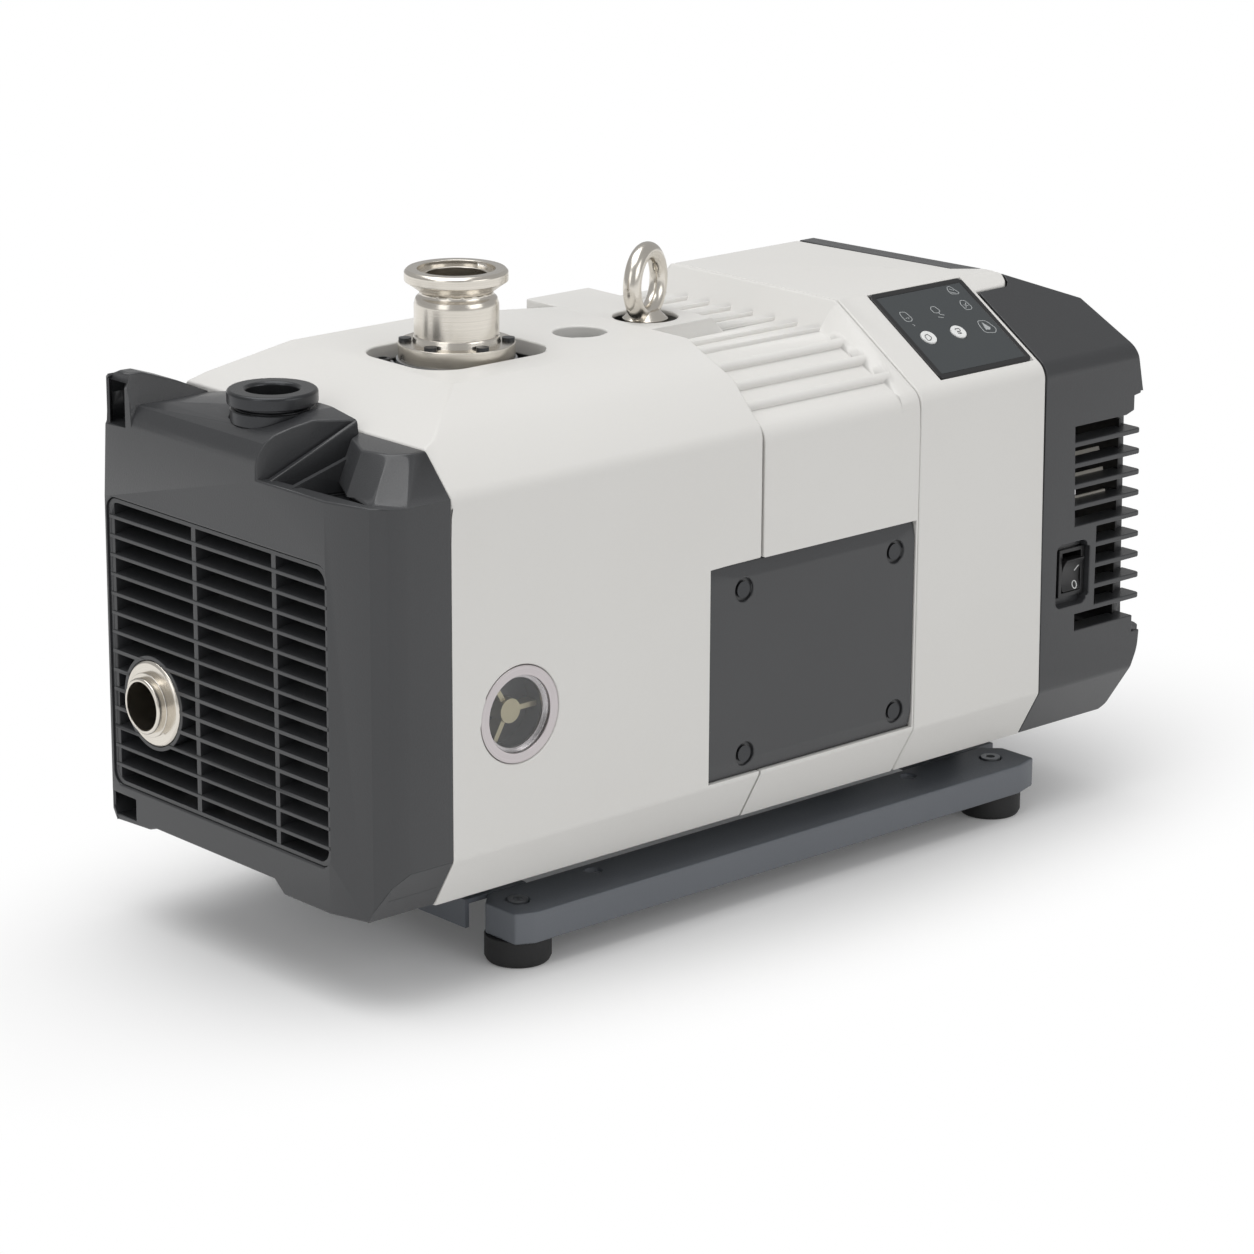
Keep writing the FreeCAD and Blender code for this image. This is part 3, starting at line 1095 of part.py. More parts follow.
def main_bearings():
    shield_x = MOTOR_END_X - 2.0
    rings = []
    for x in (MAIN_BEARING_X + 0.5, shield_x):
        ring = rod_x(x, x + MAIN_BEARING_L, MAIN_BEARING_R).cut(rod_x(x - 1, x + MAIN_BEARING_L + 1,
                                                                      JOURNAL_R + RUN))
        rings.append(ring)
    return rings


def crankshaft():
    pin = rod_x(ORBIT_BACK_X + 3.5, WEIGHT_X + 1, PIN_R, 0, SHAFT_Z + ORBIT_R)
    web = rod_x(WEIGHT_X, WEIGHT_X + WEIGHT_T, 16.5)
    bar = rod_x(WEIGHT_X + WEIGHT_T - 1, SHAFT_END_X - 20, JOURNAL_R)
    tail = rod_x(SHAFT_END_X - 21, SHAFT_END_X, JOURNAL_R - 3)
    return joined([pin, web, bar, tail])


def counterweight():
    """Sector that balances the orbiting scroll, clamped round the crank web."""
    x0, x1 = WEIGHT_X + 0.5, WEIGHT_X + WEIGHT_T - 0.5
    disc = rod_x(x0, x1, WEIGHT_R).cut(rod_x(x0 - 1, x1 + 1, 16.5 + SEAT))
    keep = across([(-22.0, SHAFT_Z + 20), (-WEIGHT_R - 5, SHAFT_Z - WEIGHT_R - 5),
                   (WEIGHT_R + 5, SHAFT_Z - WEIGHT_R - 5), (22.0, SHAFT_Z + 20)], x0 - 1, x1 + 1)
    return disc.common(keep)


def motor_housing():
    tube = rod_x(MOTOR_X, MOTOR_END_X, MOTOR_R)
    fins = []
    for i in range(MOTOR_FINS):
        angle = 360.0 * i / MOTOR_FINS
        fin = block(MOTOR_X + 10, MOTOR_END_X - 4, -1.3, 1.3, SHAFT_Z + MOTOR_R - 2,
                    SHAFT_Z + MOTOR_R + MOTOR_FIN)
        fin.rotate(V(0, 0, SHAFT_Z), V(1, 0, 0), angle)
        fins.append(fin)
    boss = rod_z(SHAFT_Z + MOTOR_R - 8, EYE_BASE_Z, 13.0, EYE_X, 0)
    legs = [block(MOTOR_END_X - 40, MOTOR_END_X - 12, y - 12, y + 12, TRAY_Z, SHAFT_Z - 56)
            for y in (-44.0, 44.0)]
    body = joined([tube, *fins, boss, *legs])
    inside = rod_x(MOTOR_X - 1, MOTOR_END_X + 1, MOTOR_R - MOTOR_WALL)
    thread = rod_z(EYE_BASE_Z - 18, EYE_BASE_Z + 1, EYE_THREAD_R + SEAT, EYE_X, 0)
    return body.cut([inside, thread])


def motor_stator():
    outer = rod_x(CORE_X, CORE_X + CORE_L, MOTOR_R - MOTOR_WALL - SEAT)
    heads = [rod_x(x0, x1, MOTOR_R - MOTOR_WALL - 9) for x0, x1 in
             ((CORE_X - 16, CORE_X), (CORE_X + CORE_L, CORE_X + CORE_L + 16))]
    return joined([outer, *heads]).cut(rod_x(CORE_X - 20, CORE_X + CORE_L + 20, ROTOR_R + AIR_GAP))


def motor_rotor():
    core = rod_x(CORE_X + 1, CORE_X + CORE_L - 1, ROTOR_R)
    return core.cut(rod_x(CORE_X, CORE_X + CORE_L, JOURNAL_R + SEAT))


def motor_end_shield():
    disc = turned_x([(MOTOR_END_X, 0), (MOTOR_END_X, MOTOR_R + 2), (MOTOR_END_X + 6, MOTOR_R + 2),
                     (MOTOR_END_X + SHIELD_T, 38.0), (MOTOR_END_X + SHIELD_T, 0)])
    spigot = rod_x(MOTOR_END_X - 6, MOTOR_END_X + 1, MOTOR_R - MOTOR_WALL - SEAT)
    seat = rod_x(MOTOR_END_X - 7, MOTOR_END_X - 1.9 + MAIN_BEARING_L, MAIN_BEARING_R + SEAT)
    shaft = rod_x(MOTOR_END_X - 7, MOTOR_END_X + SHIELD_T + 1, JOURNAL_R + 1.5)
    return joined([disc, spigot]).cut([seat, shaft])


def cooling_fan():
    hub = turned_x([(FAN_X, JOURNAL_R - 3 + SEAT), (FAN_X, FAN_HUB_R), (FAN_X + FAN_L - 5, FAN_HUB_R),
                    (FAN_X + FAN_L, FAN_HUB_R - 6), (FAN_X + FAN_L, JOURNAL_R - 3 + SEAT)])
    blades = []
    for i in range(FAN_BLADES):
        blade = block(-11.0, 11.0, -1.1, 1.1, FAN_HUB_R - 2, FAN_R + 4)
        blade.rotate(V(0, 0, 0), V(0, 0, 1), 38)
        blade.translate(V(FAN_X + FAN_L / 2, 0, SHAFT_Z))
        blade.rotate(V(0, 0, SHAFT_Z), V(1, 0, 0), 360.0 * i / FAN_BLADES)
        blades.append(blade.common(rod_x(FAN_X - 5, FAN_X + FAN_L + 5, FAN_R)))
    return joined([hub, *blades]).cut(rod_x(FAN_X - 9, FAN_X + FAN_L + 9, JOURNAL_R - 3 + SEAT))


def fan_cowl():
    """Pale dome over the fan, carried on four feet round the motor's end shield."""
    x0, x1, r, t = MOTOR_END_X + 1.0, FAN_COWL_END, FAN_COWL_R, FAN_COWL_T
    outer = [(x0, 0), (x0, r), (x1 - 14, r), (x1 - 5, r - 4), (x1, r - 13), (x1, 0)]
    inner = [(x0 - 1, 0), (x0 - 1, r - t), (x1 - 15, r - t), (x1 - 6, r - t - 4), (x1 - t, r - 14),
             (x1 - t, 0)]
    shell = turned_x(outer).cut(turned_x(inner))
    feet = []
    for angle in (45, 135, 225, 315):
        foot = block(x0, x0 + 6, -6.0, 6.0, SHAFT_Z + MOTOR_R + 1, SHAFT_Z + r - 1)
        foot.rotate(V(0, 0, SHAFT_Z), V(1, 0, 0), angle)
        feet.append(foot)
    seat = rod_x(x0 - 1, x0 + 8, MOTOR_R + 2 + SEAT)
    slots = []
    for k in range(-4, 5):
        half = math.sqrt((r - 18) ** 2 - (k * 15.0) ** 2)
        slots.append(block(x1 - 4, x1 + 1, -half, half, SHAFT_Z + k * 15 - 5, SHAFT_Z + k * 15 + 5))
    return joined([shell, *feet]).cut([seat, *slots])


def drive_electronics():
    """Heat sink with a circuit board and its capacitors, hung under the hood's roof."""
    x0, x1, y0, y1 = HOOD_X + 12, REAR_X - 6, -34.0, 74.0
    top = HOOD_Z - SKIN
    plate = block(x0, x1, y0, y1, top - 6, top)
    board = block(x0 + 6, x1 - 6, y0 + 6, y1 - 6, top - 20, top - 18)
    posts = [rod_z(top - 19, top - 5, 3.0, x, y) for x in (x0 + 12, x1 - 12) for y in (y0 + 12, y1 - 12)]
    cans = [rod_z(top - 34, top - 19, 9.0, x0 + 34, y0 + 30 + 22 * i) for i in range(3)]
    return joined([plate, board, *posts, *cans])


def control_panel_bezel():
    outer = softened(block(0, PANEL_L, 0, PANEL_H, -PANEL_RECESS, BEZEL_T - PANEL_RECESS), V(0, 0, 1), 4.0)
    face = block(BEZEL_W - SEAT, PANEL_L - BEZEL_W + SEAT, BEZEL_W - SEAT, PANEL_H - BEZEL_W + SEAT,
                 BEZEL_T - PANEL_RECESS - FACE_T, 5)
    window = block(8, PANEL_L - 8, 8, PANEL_H - 8, -5, 5)
    return on_slope(outer.cut([face, window]))


def control_panel_face():
    z1 = BEZEL_T - PANEL_RECESS - 0.3
    z0 = BEZEL_T - PANEL_RECESS - FACE_T
    plate = block(BEZEL_W, PANEL_L - BEZEL_W, BEZEL_W, PANEL_H - BEZEL_W, z0, z1)
    holes = [rod_z(z0 - 1, z1 + 1, KEY_R + 0.3, x, y) for x, y in KEY_PLACES]
    backs = block(BEZEL_W + 6, PANEL_L - BEZEL_W - 6, BEZEL_W + 6, PANEL_H - BEZEL_W - 6, z0 - 4.0, z0)
    wells = [rod_z(z0 - 2.4, z0 + 1, KEY_R + 1.5, x, y) for x, y in KEY_PLACES]
    return on_slope(joined([plate, backs]).cut([*holes, *wells]))


def panel_key(place):
    x, y = place
    z1 = BEZEL_T - PANEL_RECESS - 0.3 + KEY_PROUD
    z0 = BEZEL_T - PANEL_RECESS - FACE_T
    cap = turned_z([(0, z0 - 1), (KEY_R, z0 - 1), (KEY_R, z1 - 0.3), (KEY_R - 0.5, z1), (0, z1 - 0.25)], x, y)
    skirt = rod_z(z0 - 1.3, z0 - 0.4, KEY_R + 1.0, x, y)
    return on_slope(joined([cap, skirt]))


def access_panel():
    x0, x1, y0 = ACCESS_X, ACCESS_X + ACCESS_L, -HALF_W + 0.6
    z0, z1 = ACCESS_LOW_Z, ACCESS_TOP_Z
    plate = softened(block(x0, x1, y0, y0 + ACCESS_T, z0, z1), V(0, 1, 0), 3.0)
    top_cut = across([(y0 - 1, z1 + 0.1), (y0 + 1.6, z1 + 0.1), (y0, z1 - 9.0), (y0 - 1, z1 - 9.0)], x0 - 1,
                     x1 + 1)
    low_cut = across([(y0 - 1, z0 - 0.1), (y0 + 1.6, z0 - 0.1), (y0, z0 + 9.0), (y0 - 1, z0 + 9.0)], x0 - 1,
                     x1 + 1)
    pockets = [rod_y(y0 - 1, y0 + 2.2, ACCESS_BOSS_R, x0 + x, z0 + z) for x, z in ACCESS_SCREWS]
    holes = [rod_y(y0, y0 + 9, 2.7, x0 + x, z0 + z) for x, z in ACCESS_SCREWS]
    return plate.cut([top_cut, low_cut, *pockets, *holes])


def access_panel_screws():
    y0 = -HALF_W + 0.6 + 2.2
    screws = []
    for x, z in ACCESS_SCREWS:
        head = rod_y(y0 - 1.6, y0, 4.6, ACCESS_X + x, ACCESS_LOW_Z + z)
        shank = rod_y(y0, y0 + 9, 2.4, ACCESS_X + x, ACCESS_LOW_Z + z)
        screws.append(joined([head, shank]))
    return screws


def window_parts():
    """Ring, lens, cup and centre plug of the round window in the near side."""
    y0 = -HALF_W + 0.3
    ring = rod_y(y0, y0 + 5, WINDOW_R, WINDOW_X, WINDOW_Z).cut(rod_y(y0 - 1, y0 + 6, WINDOW_GLASS_R,
                                                                     WINDOW_X, WINDOW_Z))
    step = rod_y(y0 + 5, y0 + 7, WINDOW_R + 2, WINDOW_X, WINDOW_Z).cut(
        rod_y(y0 + 4, y0 + 8, WINDOW_GLASS_R - 2, WINDOW_X, WINDOW_Z))
    glass = rod_y(y0 + 2, y0 + 5 - SEAT, WINDOW_GLASS_R - SEAT, WINDOW_X, WINDOW_Z)
    back = y0 + 7 + WINDOW_DEPTH
    cup = rod_y(y0 + 7, back, WINDOW_R, WINDOW_X, WINDOW_Z).cut(
        rod_y(y0 + 6, back - 2.5, WINDOW_GLASS_R - 1, WINDOW_X, WINDOW_Z))
    plug = rod_y(y0 + 9, back - 2.5, 6.5, WINDOW_X, WINDOW_Z)
    spokes = []
    for angle in (90, 210, 330):
        spoke = block(-1.4, 1.4, y0 + 11, back - 2.5, 4.0, WINDOW_GLASS_R - 1.1)
        spoke.rotate(V(0, 0, 0), V(0, 1, 0), angle)
        spoke.translate(V(WINDOW_X, 0, WINDOW_Z))
        spokes.append(spoke)
    return joined([ring, step]), glass, cup, joined([plug, *spokes])


def rocker_parts():
    """Bezel in the side pocket and the rocker that tilts in it."""
    y0 = -HALF_W + ROCKER_POCKET_DEPTH
    x, z = ROCKER_X, ROCKER_Z
    lx, lz = ROCKER_L / 2, ROCKER_H / 2
    flange = block(x - lx - 3, x + lx + 3, y0 - 2.0, y0, z - lz - 3, z + lz + 3)
    body = block(x - lx - 2.6, x + lx + 2.6, y0, y0 + 20, z - lz - 2.6, z + lz + 2.6)
    room = block(x - lx - 0.4, x + lx + 0.4, y0 - 3, y0 + 12, z - lz - 0.5, z + lz + 0.5)
    pin = rod_x(x - lx - 2, x + lx + 2, 1.5, y0 + 4, z)
    bezel = joined([flange, body]).cut(room)
    bezel = bezel.cut(pin)
    rise = ROCKER_R - math.sqrt(ROCKER_R ** 2 - lz ** 2)
    tip_y, tip_z = y0 - 1.8 - rise, lz - 1.3
    arc = Part.Arc(V(x - lx, tip_y, z - tip_z), V(x - lx, y0 - 1.4, z), V(x - lx, tip_y, z + tip_z))
    corners = [V(x - lx, tip_y, z + tip_z), V(x - lx, y0 + 3.5, z + lz - 3.2), V(x - lx, y0 + 7, z + 3),
               V(x - lx, y0 + 7, z - 3), V(x - lx, y0 + 3.5, z - lz + 3.2), V(x - lx, tip_y, z - tip_z)]
    wire = Part.Wire([arc.toShape(), *Part.makePolygon(corners).Edges])
    button = Part.Face(wire).extrude(V(2 * lx, 0, 0))
    axle = rod_x(x - lx - 1.8, x + lx + 1.8, 1.5 - RUN, y0 + 4, z)
    rocker = joined([button, axle])
    rocker.rotate(V(x, y0 + 4, z), V(1, 0, 0), ROCKER_TILT)
    return bezel, rocker


def power_inlet():
    """Appliance inlet with three flat pins, low on the rear."""
    x1 = socket_face_x()
    x0 = x1 - 26.0
    y, z = SOCKET_Y, SOCKET_Z
    body = block(x0, x1, y - SOCKET_W / 2, y + SOCKET_W / 2, z - SOCKET_H / 2, z + SOCKET_H / 2)
    flange = block(x1, x1 + 2.2, y - SOCKET_W / 2 - 4, y + SOCKET_W / 2 + 4, z - SOCKET_H / 2 - 2.5,
                   z + SOCKET_H / 2 + 2.5)
    room = block(x0 + 6, x1 + 3, y - SOCKET_W / 2 + 1.6, y + SOCKET_W / 2 - 1.6, z - SOCKET_H / 2 + 1.6,
                 z + SOCKET_H / 2 - 1.6)
    pins = [block(x0 + 5, x1 - 6, py - 1, py + 1, pz - 2, pz + 2) for py,
            pz in ((y - 7, z - 1), (y, z + 3), (y + 7, z - 1))]
    return joined([joined([body, flange]).cut(room), *pins])


def socket_face_x():
    return END_X - 6.0


def eye_bolt():
    z0 = EYE_BASE_Z
    ring_z = z0 + EYE_H - EYE_RING_R - EYE_WIRE_R
    ring = Part.makeTorus(EYE_RING_R, EYE_WIRE_R, V(EYE_X, 0, ring_z), V(0, 1, 0))
    ring.rotate(V(EYE_X, 0, 0), V(0, 0, 1), EYE_TURN)
    collar = turned_z([(0, z0), (EYE_COLLAR_R, z0), (EYE_COLLAR_R, z0 + 3), (7.5, z0 + 7.5), (0, z0 + 7.5)],
                      EYE_X, 0)
    shank = rod_z(z0 - 16, z0, EYE_THREAD_R, EYE_X, 0)
    hole = rod_y(-20, 20, EYE_RING_R - EYE_WIRE_R, EYE_X, ring_z)
    hole.rotate(V(EYE_X, 0, 0), V(0, 0, 1), EYE_TURN)
    return joined([ring, joined([collar, shank]).cut(hole)])


def base_rail(side):
    """Channel rail with its open side down and its outer corners cut back."""
    z0, z1 = FOOT_H, RAIL_TOP_Z
    out, back = RAIL_OUT_Y, RAIL_OUT_Y - RAIL_W
    c = RAIL_CORNER
    plan = [(RAIL_FRONT_X + c, back), (RAIL_FRONT_X, back + c), (RAIL_FRONT_X, out - c / 2),
            (RAIL_FRONT_X + c, out),
            (RAIL_REAR_X - RAIL_REAR_CUT, out), (RAIL_REAR_X, out - c / 2), (RAIL_REAR_X, back + c),
            (RAIL_REAR_X - c, back)]
    rail = upright(plan, z0, z1).cut(upright(inset(plan, RAIL_T), z0 - 1, z1 - RAIL_T))
    rail = rail.cut([rod_z(z0, z1 + 1, 6.2, x, FOOT_Y) for x in FOOT_X])
    rail = rail.cut([rod_z(z0, z1 + 1, 4.5, x, FOOT_Y - 8) for x in rail_hole_x()])
    return rail if side > 0 else rail.mirror(V(0, 0, 0), V(0, 1, 0))


def rail_hole_x():
    """Bench holes in each rail's top."""
    return (FOOT_X[0] + 60.0, FOOT_X[1] - 60.0)


def cross_member(x):
    half = RAIL_OUT_Y - RAIL_W
    z1 = RAIL_TOP_Z
    beam = block(x - CROSS_W / 2, x + CROSS_W / 2, -half, half, FOOT_H + 1.5, z1)
    beam = beam.cut(block(x - CROSS_W / 2 + RAIL_T, x + CROSS_W / 2 - RAIL_T, -half - 1, half + 1, FOOT_H,
                          z1 - RAIL_T))
    return beam.cut([rod_z(FOOT_H, z1 + 1, 4.2, x, y) for y in (-MOUNT_Y, MOUNT_Y)])


def rubber_feet():
    top = RAIL_TOP_Z - RAIL_T
    profile = [(3.1, 6.0), (3.1, top), (9.5, top), (9.5, FOOT_H), (FOOT_R, FOOT_H), (FOOT_R, 3.0),
               (FOOT_R - 1.5, 0), (8.0, 0), (8.0, 6.0)]
    return [turned_z(profile, x, y) for x in FOOT_X for y in (-FOOT_Y, FOOT_Y)]


def foot_screws():
    top = RAIL_TOP_Z - RAIL_T
    profile = [(0, 2.0), (2.9, 2.0), (2.9, top), (5.6, top), (5.6, top + 3.4), (2.6, top + 3.4),
               (2.6, top + 1.2), (0, top + 1.2)]
    return [turned_z(profile, x, y) for x in FOOT_X for y in (-FOOT_Y, FOOT_Y)]


def vibration_mounts():
    z0, z1 = RAIL_TOP_Z, BELLY_Z
    mid = (z0 + z1) / 2
    profile = [(0, z0), (MOUNT_R, z0), (MOUNT_R, z0 + 2), (MOUNT_R - 2.5, mid), (MOUNT_R, z1 - 2),
               (MOUNT_R, z1), (0, z1)]
    studs = [(0, z0 - 9), (3.9, z0 - 9), (3.9, z1 + 7), (0, z1 + 7)]
    return [joined([turned_z(profile, x, y), turned_z(studs, x, y)]) for x in FOOT_X
            for y in (-MOUNT_Y, MOUNT_Y)]


def bottom_tray():
    half = BELLY_W / 2 - SKIN - 2.0
    x0, x1 = COWL_X + 3, REAR_X + 40
    plate = block(x0, x1, -half, half, BELLY_Z, TRAY_Z)
    sides = [block(x0, x1, y, y + 2.0, BELLY_Z, BELLY_Z + 16) for y in (-half, half - 2.0)]
    holes = [rod_z(BELLY_Z - 1, TRAY_Z + 1, 3.9 + SEAT, x, y) for x in FOOT_X for y in (-MOUNT_Y, MOUNT_Y)]
    vents = [block(MOTOR_X + 18 * i, MOTOR_X + 18 * i + 8, -30, 30, BELLY_Z - 1, TRAY_Z + 1)
             for i in range(7)]
    return joined([plate, *sides]).cut([*holes, *vents])


def main():
    os.makedirs("parts", exist_ok=True)
    save("base_rail_near", base_rail(-1))
    save("base_rail_far", base_rail(1))
    save("cross_member_front", cross_member(FOOT_X[0]))
    save("cross_member_rear", cross_member(FOOT_X[1]))
    save("rubber_feet", rubber_feet())
    save("foot_screws", foot_screws())
    save("vibration_mounts", vibration_mounts())
    save("bottom_tray", bottom_tray())
    save("crankcase", crankcase())
    save("fixed_scroll", fixed_scroll())
    save("fixed_tip_seal", scroll_seal(0.0, SHAFT_Z, SCROLL_FACE_X + WRAP_H, True)[0])
    save("fixed_scroll_screws", fixed_scroll_screws())
    save("orbiting_scroll", orbiting_scroll())
    save("orbiting_tip_seal", scroll_seal(180.0, SHAFT_Z + ORBIT_R, SCROLL_FACE_X + TIP_GAP, False)[0])
    save("crank_pin_bearing", orbit_bearings())
    save("auxiliary_orbit_bearings", aux_orbit_bearings())
    save("auxiliary_case_bearings", aux_case_bearings())
    for number, angle in enumerate(AUX_ANGLES, start=1):
        save(f"auxiliary_crank_{number}", auxiliary_crank(angle))
    save("crankshaft", crankshaft())
    save("counterweight", counterweight())
    save("main_bearings", main_bearings())
    save("motor_housing", motor_housing())
    save("motor_stator", motor_stator())
    save("motor_rotor", motor_rotor())
    save("motor_end_shield", motor_end_shield())
    save("cooling_fan", cooling_fan())
    save("fan_cowl", fan_cowl())
    save("drive_electronics", drive_electronics())
    save("inlet_port", inlet_port())
    save("inlet_screws", inlet_screws())
    save("exhaust_silencer", exhaust_silencer())
    save("exhaust_nipple", exhaust_nipple())
    save("gas_ballast_port", gas_ballast_port())
    save("service_plug", service_plug())
    save("eye_bolt", eye_bolt())
    save("front_cover", front_cover())
    save("front_grille", front_grille())
    save("front_cover_screws", front_cover_screws())
    save("front_cowl", front_cowl())
    save("ribbed_cowl", ribbed_cowl())
    save("rear_hood", rear_hood())
    save("rear_cover", rear_cover())
    save("control_panel_bezel", control_panel_bezel())
    save("control_panel_face", control_panel_face())
    for name, place in zip(("start_key", "stop_key"), KEY_PLACES):
        save(name, panel_key(place))
    save("access_panel", access_panel())
    save("access_panel_screws", access_panel_screws())
    ring, glass, cup, plug = window_parts()
    save("window_ring", ring)
    save("window_glass", glass)
    save("window_cup", cup)
    save("window_plug", plug)
    bezel, button = rocker_parts()
    save("rocker_bezel", bezel)
    save("rocker_button", button)
    save("power_inlet", power_inlet())
    print(len(SAVED), "nodes, orbit radius", round(ORBIT_R, 3), "origin at station", ORIGIN_X)


main()
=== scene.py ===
# %% [markdown]
# # A dry scroll vacuum pump
# The pump stands on a steel frame with rubber feet. Its case is made of painted sections and two dark
# end covers, and the pump head, motor and fan sit inside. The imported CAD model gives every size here, so
# this notebook adds what a camera sees: rounded edges, finishes, small trim and marks, light and a floor.

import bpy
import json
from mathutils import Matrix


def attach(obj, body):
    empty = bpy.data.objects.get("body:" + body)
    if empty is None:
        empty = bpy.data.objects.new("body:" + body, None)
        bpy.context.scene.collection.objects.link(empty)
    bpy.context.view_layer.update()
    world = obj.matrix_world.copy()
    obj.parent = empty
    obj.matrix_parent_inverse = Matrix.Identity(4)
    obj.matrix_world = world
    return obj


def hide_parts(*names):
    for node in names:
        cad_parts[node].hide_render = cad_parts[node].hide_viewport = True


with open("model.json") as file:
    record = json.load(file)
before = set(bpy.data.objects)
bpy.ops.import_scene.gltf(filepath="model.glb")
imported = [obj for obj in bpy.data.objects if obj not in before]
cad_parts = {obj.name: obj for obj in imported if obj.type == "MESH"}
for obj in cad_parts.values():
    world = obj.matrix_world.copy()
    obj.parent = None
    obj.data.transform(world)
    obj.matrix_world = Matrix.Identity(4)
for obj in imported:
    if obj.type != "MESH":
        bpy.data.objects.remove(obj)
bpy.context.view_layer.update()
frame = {"nodes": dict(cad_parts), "record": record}

import json
import math

import bmesh
import bpy
from mathutils import Matrix, Vector
from mathutils.bvhtree import BVHTree
from mathutils.kdtree import KDTree

nodes_of_body = frame["record"]["behaviour"]["bodies"]
body_of_node = {node: body for body, nodes in nodes_of_body.items() for node in nodes}
slot_of_node = {part["node"]: part["material_slot"] for part in frame["record"]["subparts"]}

# %% [markdown]
# Blender works in metres and the drawings of a pump are in millimetres. The stations along the case are
# counted from the front grille, so one small function turns a station, a side and a height into a point.
# A scaled empty could do the same job, but then every mesh would carry a scale that its textures feel.

# %% Units and stations
MM = 0.001
STATION_0 = -281.6
INLET_X = 152.0


def spot(x, y, z):
    """A point by its station from the grille, its side and its height, all in millimetres."""
    return Vector(((x + STATION_0) * MM, y * MM, z * MM))


print("inlet axis at", [round(value, 4) for value in spot(INLET_X, 0.0, 0.0)])

# %% [markdown]
# The photograph was taken with a long lens from the front left, a little above the pump. A camera in
# Blender looks along its own -Z, so its rotation is a matrix with right, up and back as its columns.
# A Track To constraint could aim it too, but it leaves no room for the slight roll that a real camera
# has. The lens and the place come from matching known corners of the case. The camera comes first,
# because everything else is judged through it.

# %% Camera
AIM = Vector((-0.0756, -0.075, 0.162))
AZIMUTH = math.radians(-42.098)
ELEVATION = math.radians(16.577)
DISTANCE = 2.280
ROLL = math.radians(0.288)

back = Vector((math.sin(AZIMUTH) * math.cos(ELEVATION), -math.cos(AZIMUTH) * math.cos(ELEVATION),
               math.sin(ELEVATION)))
level_right = Vector((math.cos(AZIMUTH), math.sin(AZIMUTH), 0.0))
level_up = back.cross(level_right)
right = level_right * math.cos(ROLL) + level_up * math.sin(ROLL)
up = back.cross(right)

camera_data = bpy.data.cameras.new("camera")
camera_data.sensor_width = 36.0
camera_data.lens = 123.1
camera_data.clip_end = 60.0
camera = bpy.data.objects.new("camera", camera_data)
camera.matrix_world = Matrix((right, up, back)).transposed().to_4x4()
camera.location = AIM + back * DISTANCE
bpy.context.scene.collection.objects.link(camera)
bpy.context.scene.camera = camera
print("camera at", [round(value, 3) for value in camera.location])

# %% [markdown]
# A finish in Blender is a graph of nodes. Written out link by link, its arithmetic is hard to read, so
# a thin class wraps a socket and lets Python's own signs add Math nodes: `grain * 0.2 + 0.4`. Every
# other node comes from one function, which takes the node's type, its settings and its sockets.


# %% Shader arithmetic
class Wire:
    """One output of a node, which can be used in an expression."""

    def __init__(self, tree, socket):
        self.tree = tree
        self.socket = socket

    def math(self, operation, other):
        """The result of a Math node on this output and another value."""
        return node(self.tree, "ShaderNodeMath", {"operation": operation}, {0: self, 1: other})

    def __add__(self, other):
        return self.math("ADD", other)

    def __mul__(self, other):
        return self.math("MULTIPLY", other)

    __radd__ = __add__
    __rmul__ = __mul__

    def out(self, name):
        """Another output of the same node."""
        return Wire(self.tree, self.socket.node.outputs[name])


def node(tree, kind, settings=None, sockets=None):
    """Adds a node, sets it up, joins its sockets and gives its first output."""
    made = tree.nodes.new(kind)
    for name, value in (settings or {}).items():
        setattr(made, name, value)
    for name, value in (sockets or {}).items():
        if isinstance(value, Wire):
            tree.links.new(value.socket, made.inputs[name])
        else:
            made.inputs[name].default_value = value
    return Wire(tree, made.outputs[0]) if made.outputs else made


# %% [markdown]
# A colour is easiest to pick as it looks on a screen, and a shader counts light, so one function turns
# the picked values into linear ones. Distances from an axis come up twice, so they get a function too.


# %% Colours and distances
def shade(red, green, blue):
    """A colour picked as 0 to 255 on a screen, as the linear values that a shader needs."""
    values = [value / 255 for value in (red, green, blue)]
    linear = [value / 12.92 if value < 0.04045 else ((value + 0.055) / 1.055) ** 2.4 for value in values]
    return (*linear, 1.0)


def distance(first, second):
    """How far two coordinates reach together, by Pythagoras."""
    return (first * first + second * second).math("POWER", 0.5)


print("mid grey is", round(shade(128, 128, 128)[0], 3), "in linear light")

# %% [markdown]
# Almost every finish on the pump is a base colour with three things on top of it: a slow drift in tone,
# a fine grain that roughens it, and the same grain as a bump. Noise textures on Object coordinates give
# all three in metres, so the grain has its real size on every piece, and it stays in place as pieces
# move. Image textures would need UV maps on dozens of CAD nodes, and would stretch at the folds.

# %% Steps of a finish
finishes = {}


def start_finish(name):
    """A new material with nothing in it but its output."""
    material = bpy.data.materials.new(name)
    material.use_nodes = True
    material.node_tree.nodes.clear()
    finishes[name] = material
    return material.node_tree


def place_of(tree, centre=(0.0, 0.0, 0.0)):
    """Object coordinates, in metres, counted from a centre."""
    return node(tree, "ShaderNodeMapping", None,
                {"Vector": node(tree, "ShaderNodeTexCoord").out("Object"),
                 "Location": tuple(-value for value in centre)})


def noise(tree, where, size, detail=2.0):
    """Soft noise from 0 to 1 whose lumps are about that size, in metres."""
    return node(tree, "ShaderNodeTexNoise", None, {"Vector": where, "Scale": 1.0 / size, "Detail": detail})


def tint(tree, factor, first, second):
    """A colour between two others."""
    mixed = node(tree, "ShaderNodeMix", {"data_type": "RGBA"}, {0: factor, 6: first, 7: second})
    return Wire(tree, mixed.socket.node.outputs[2])


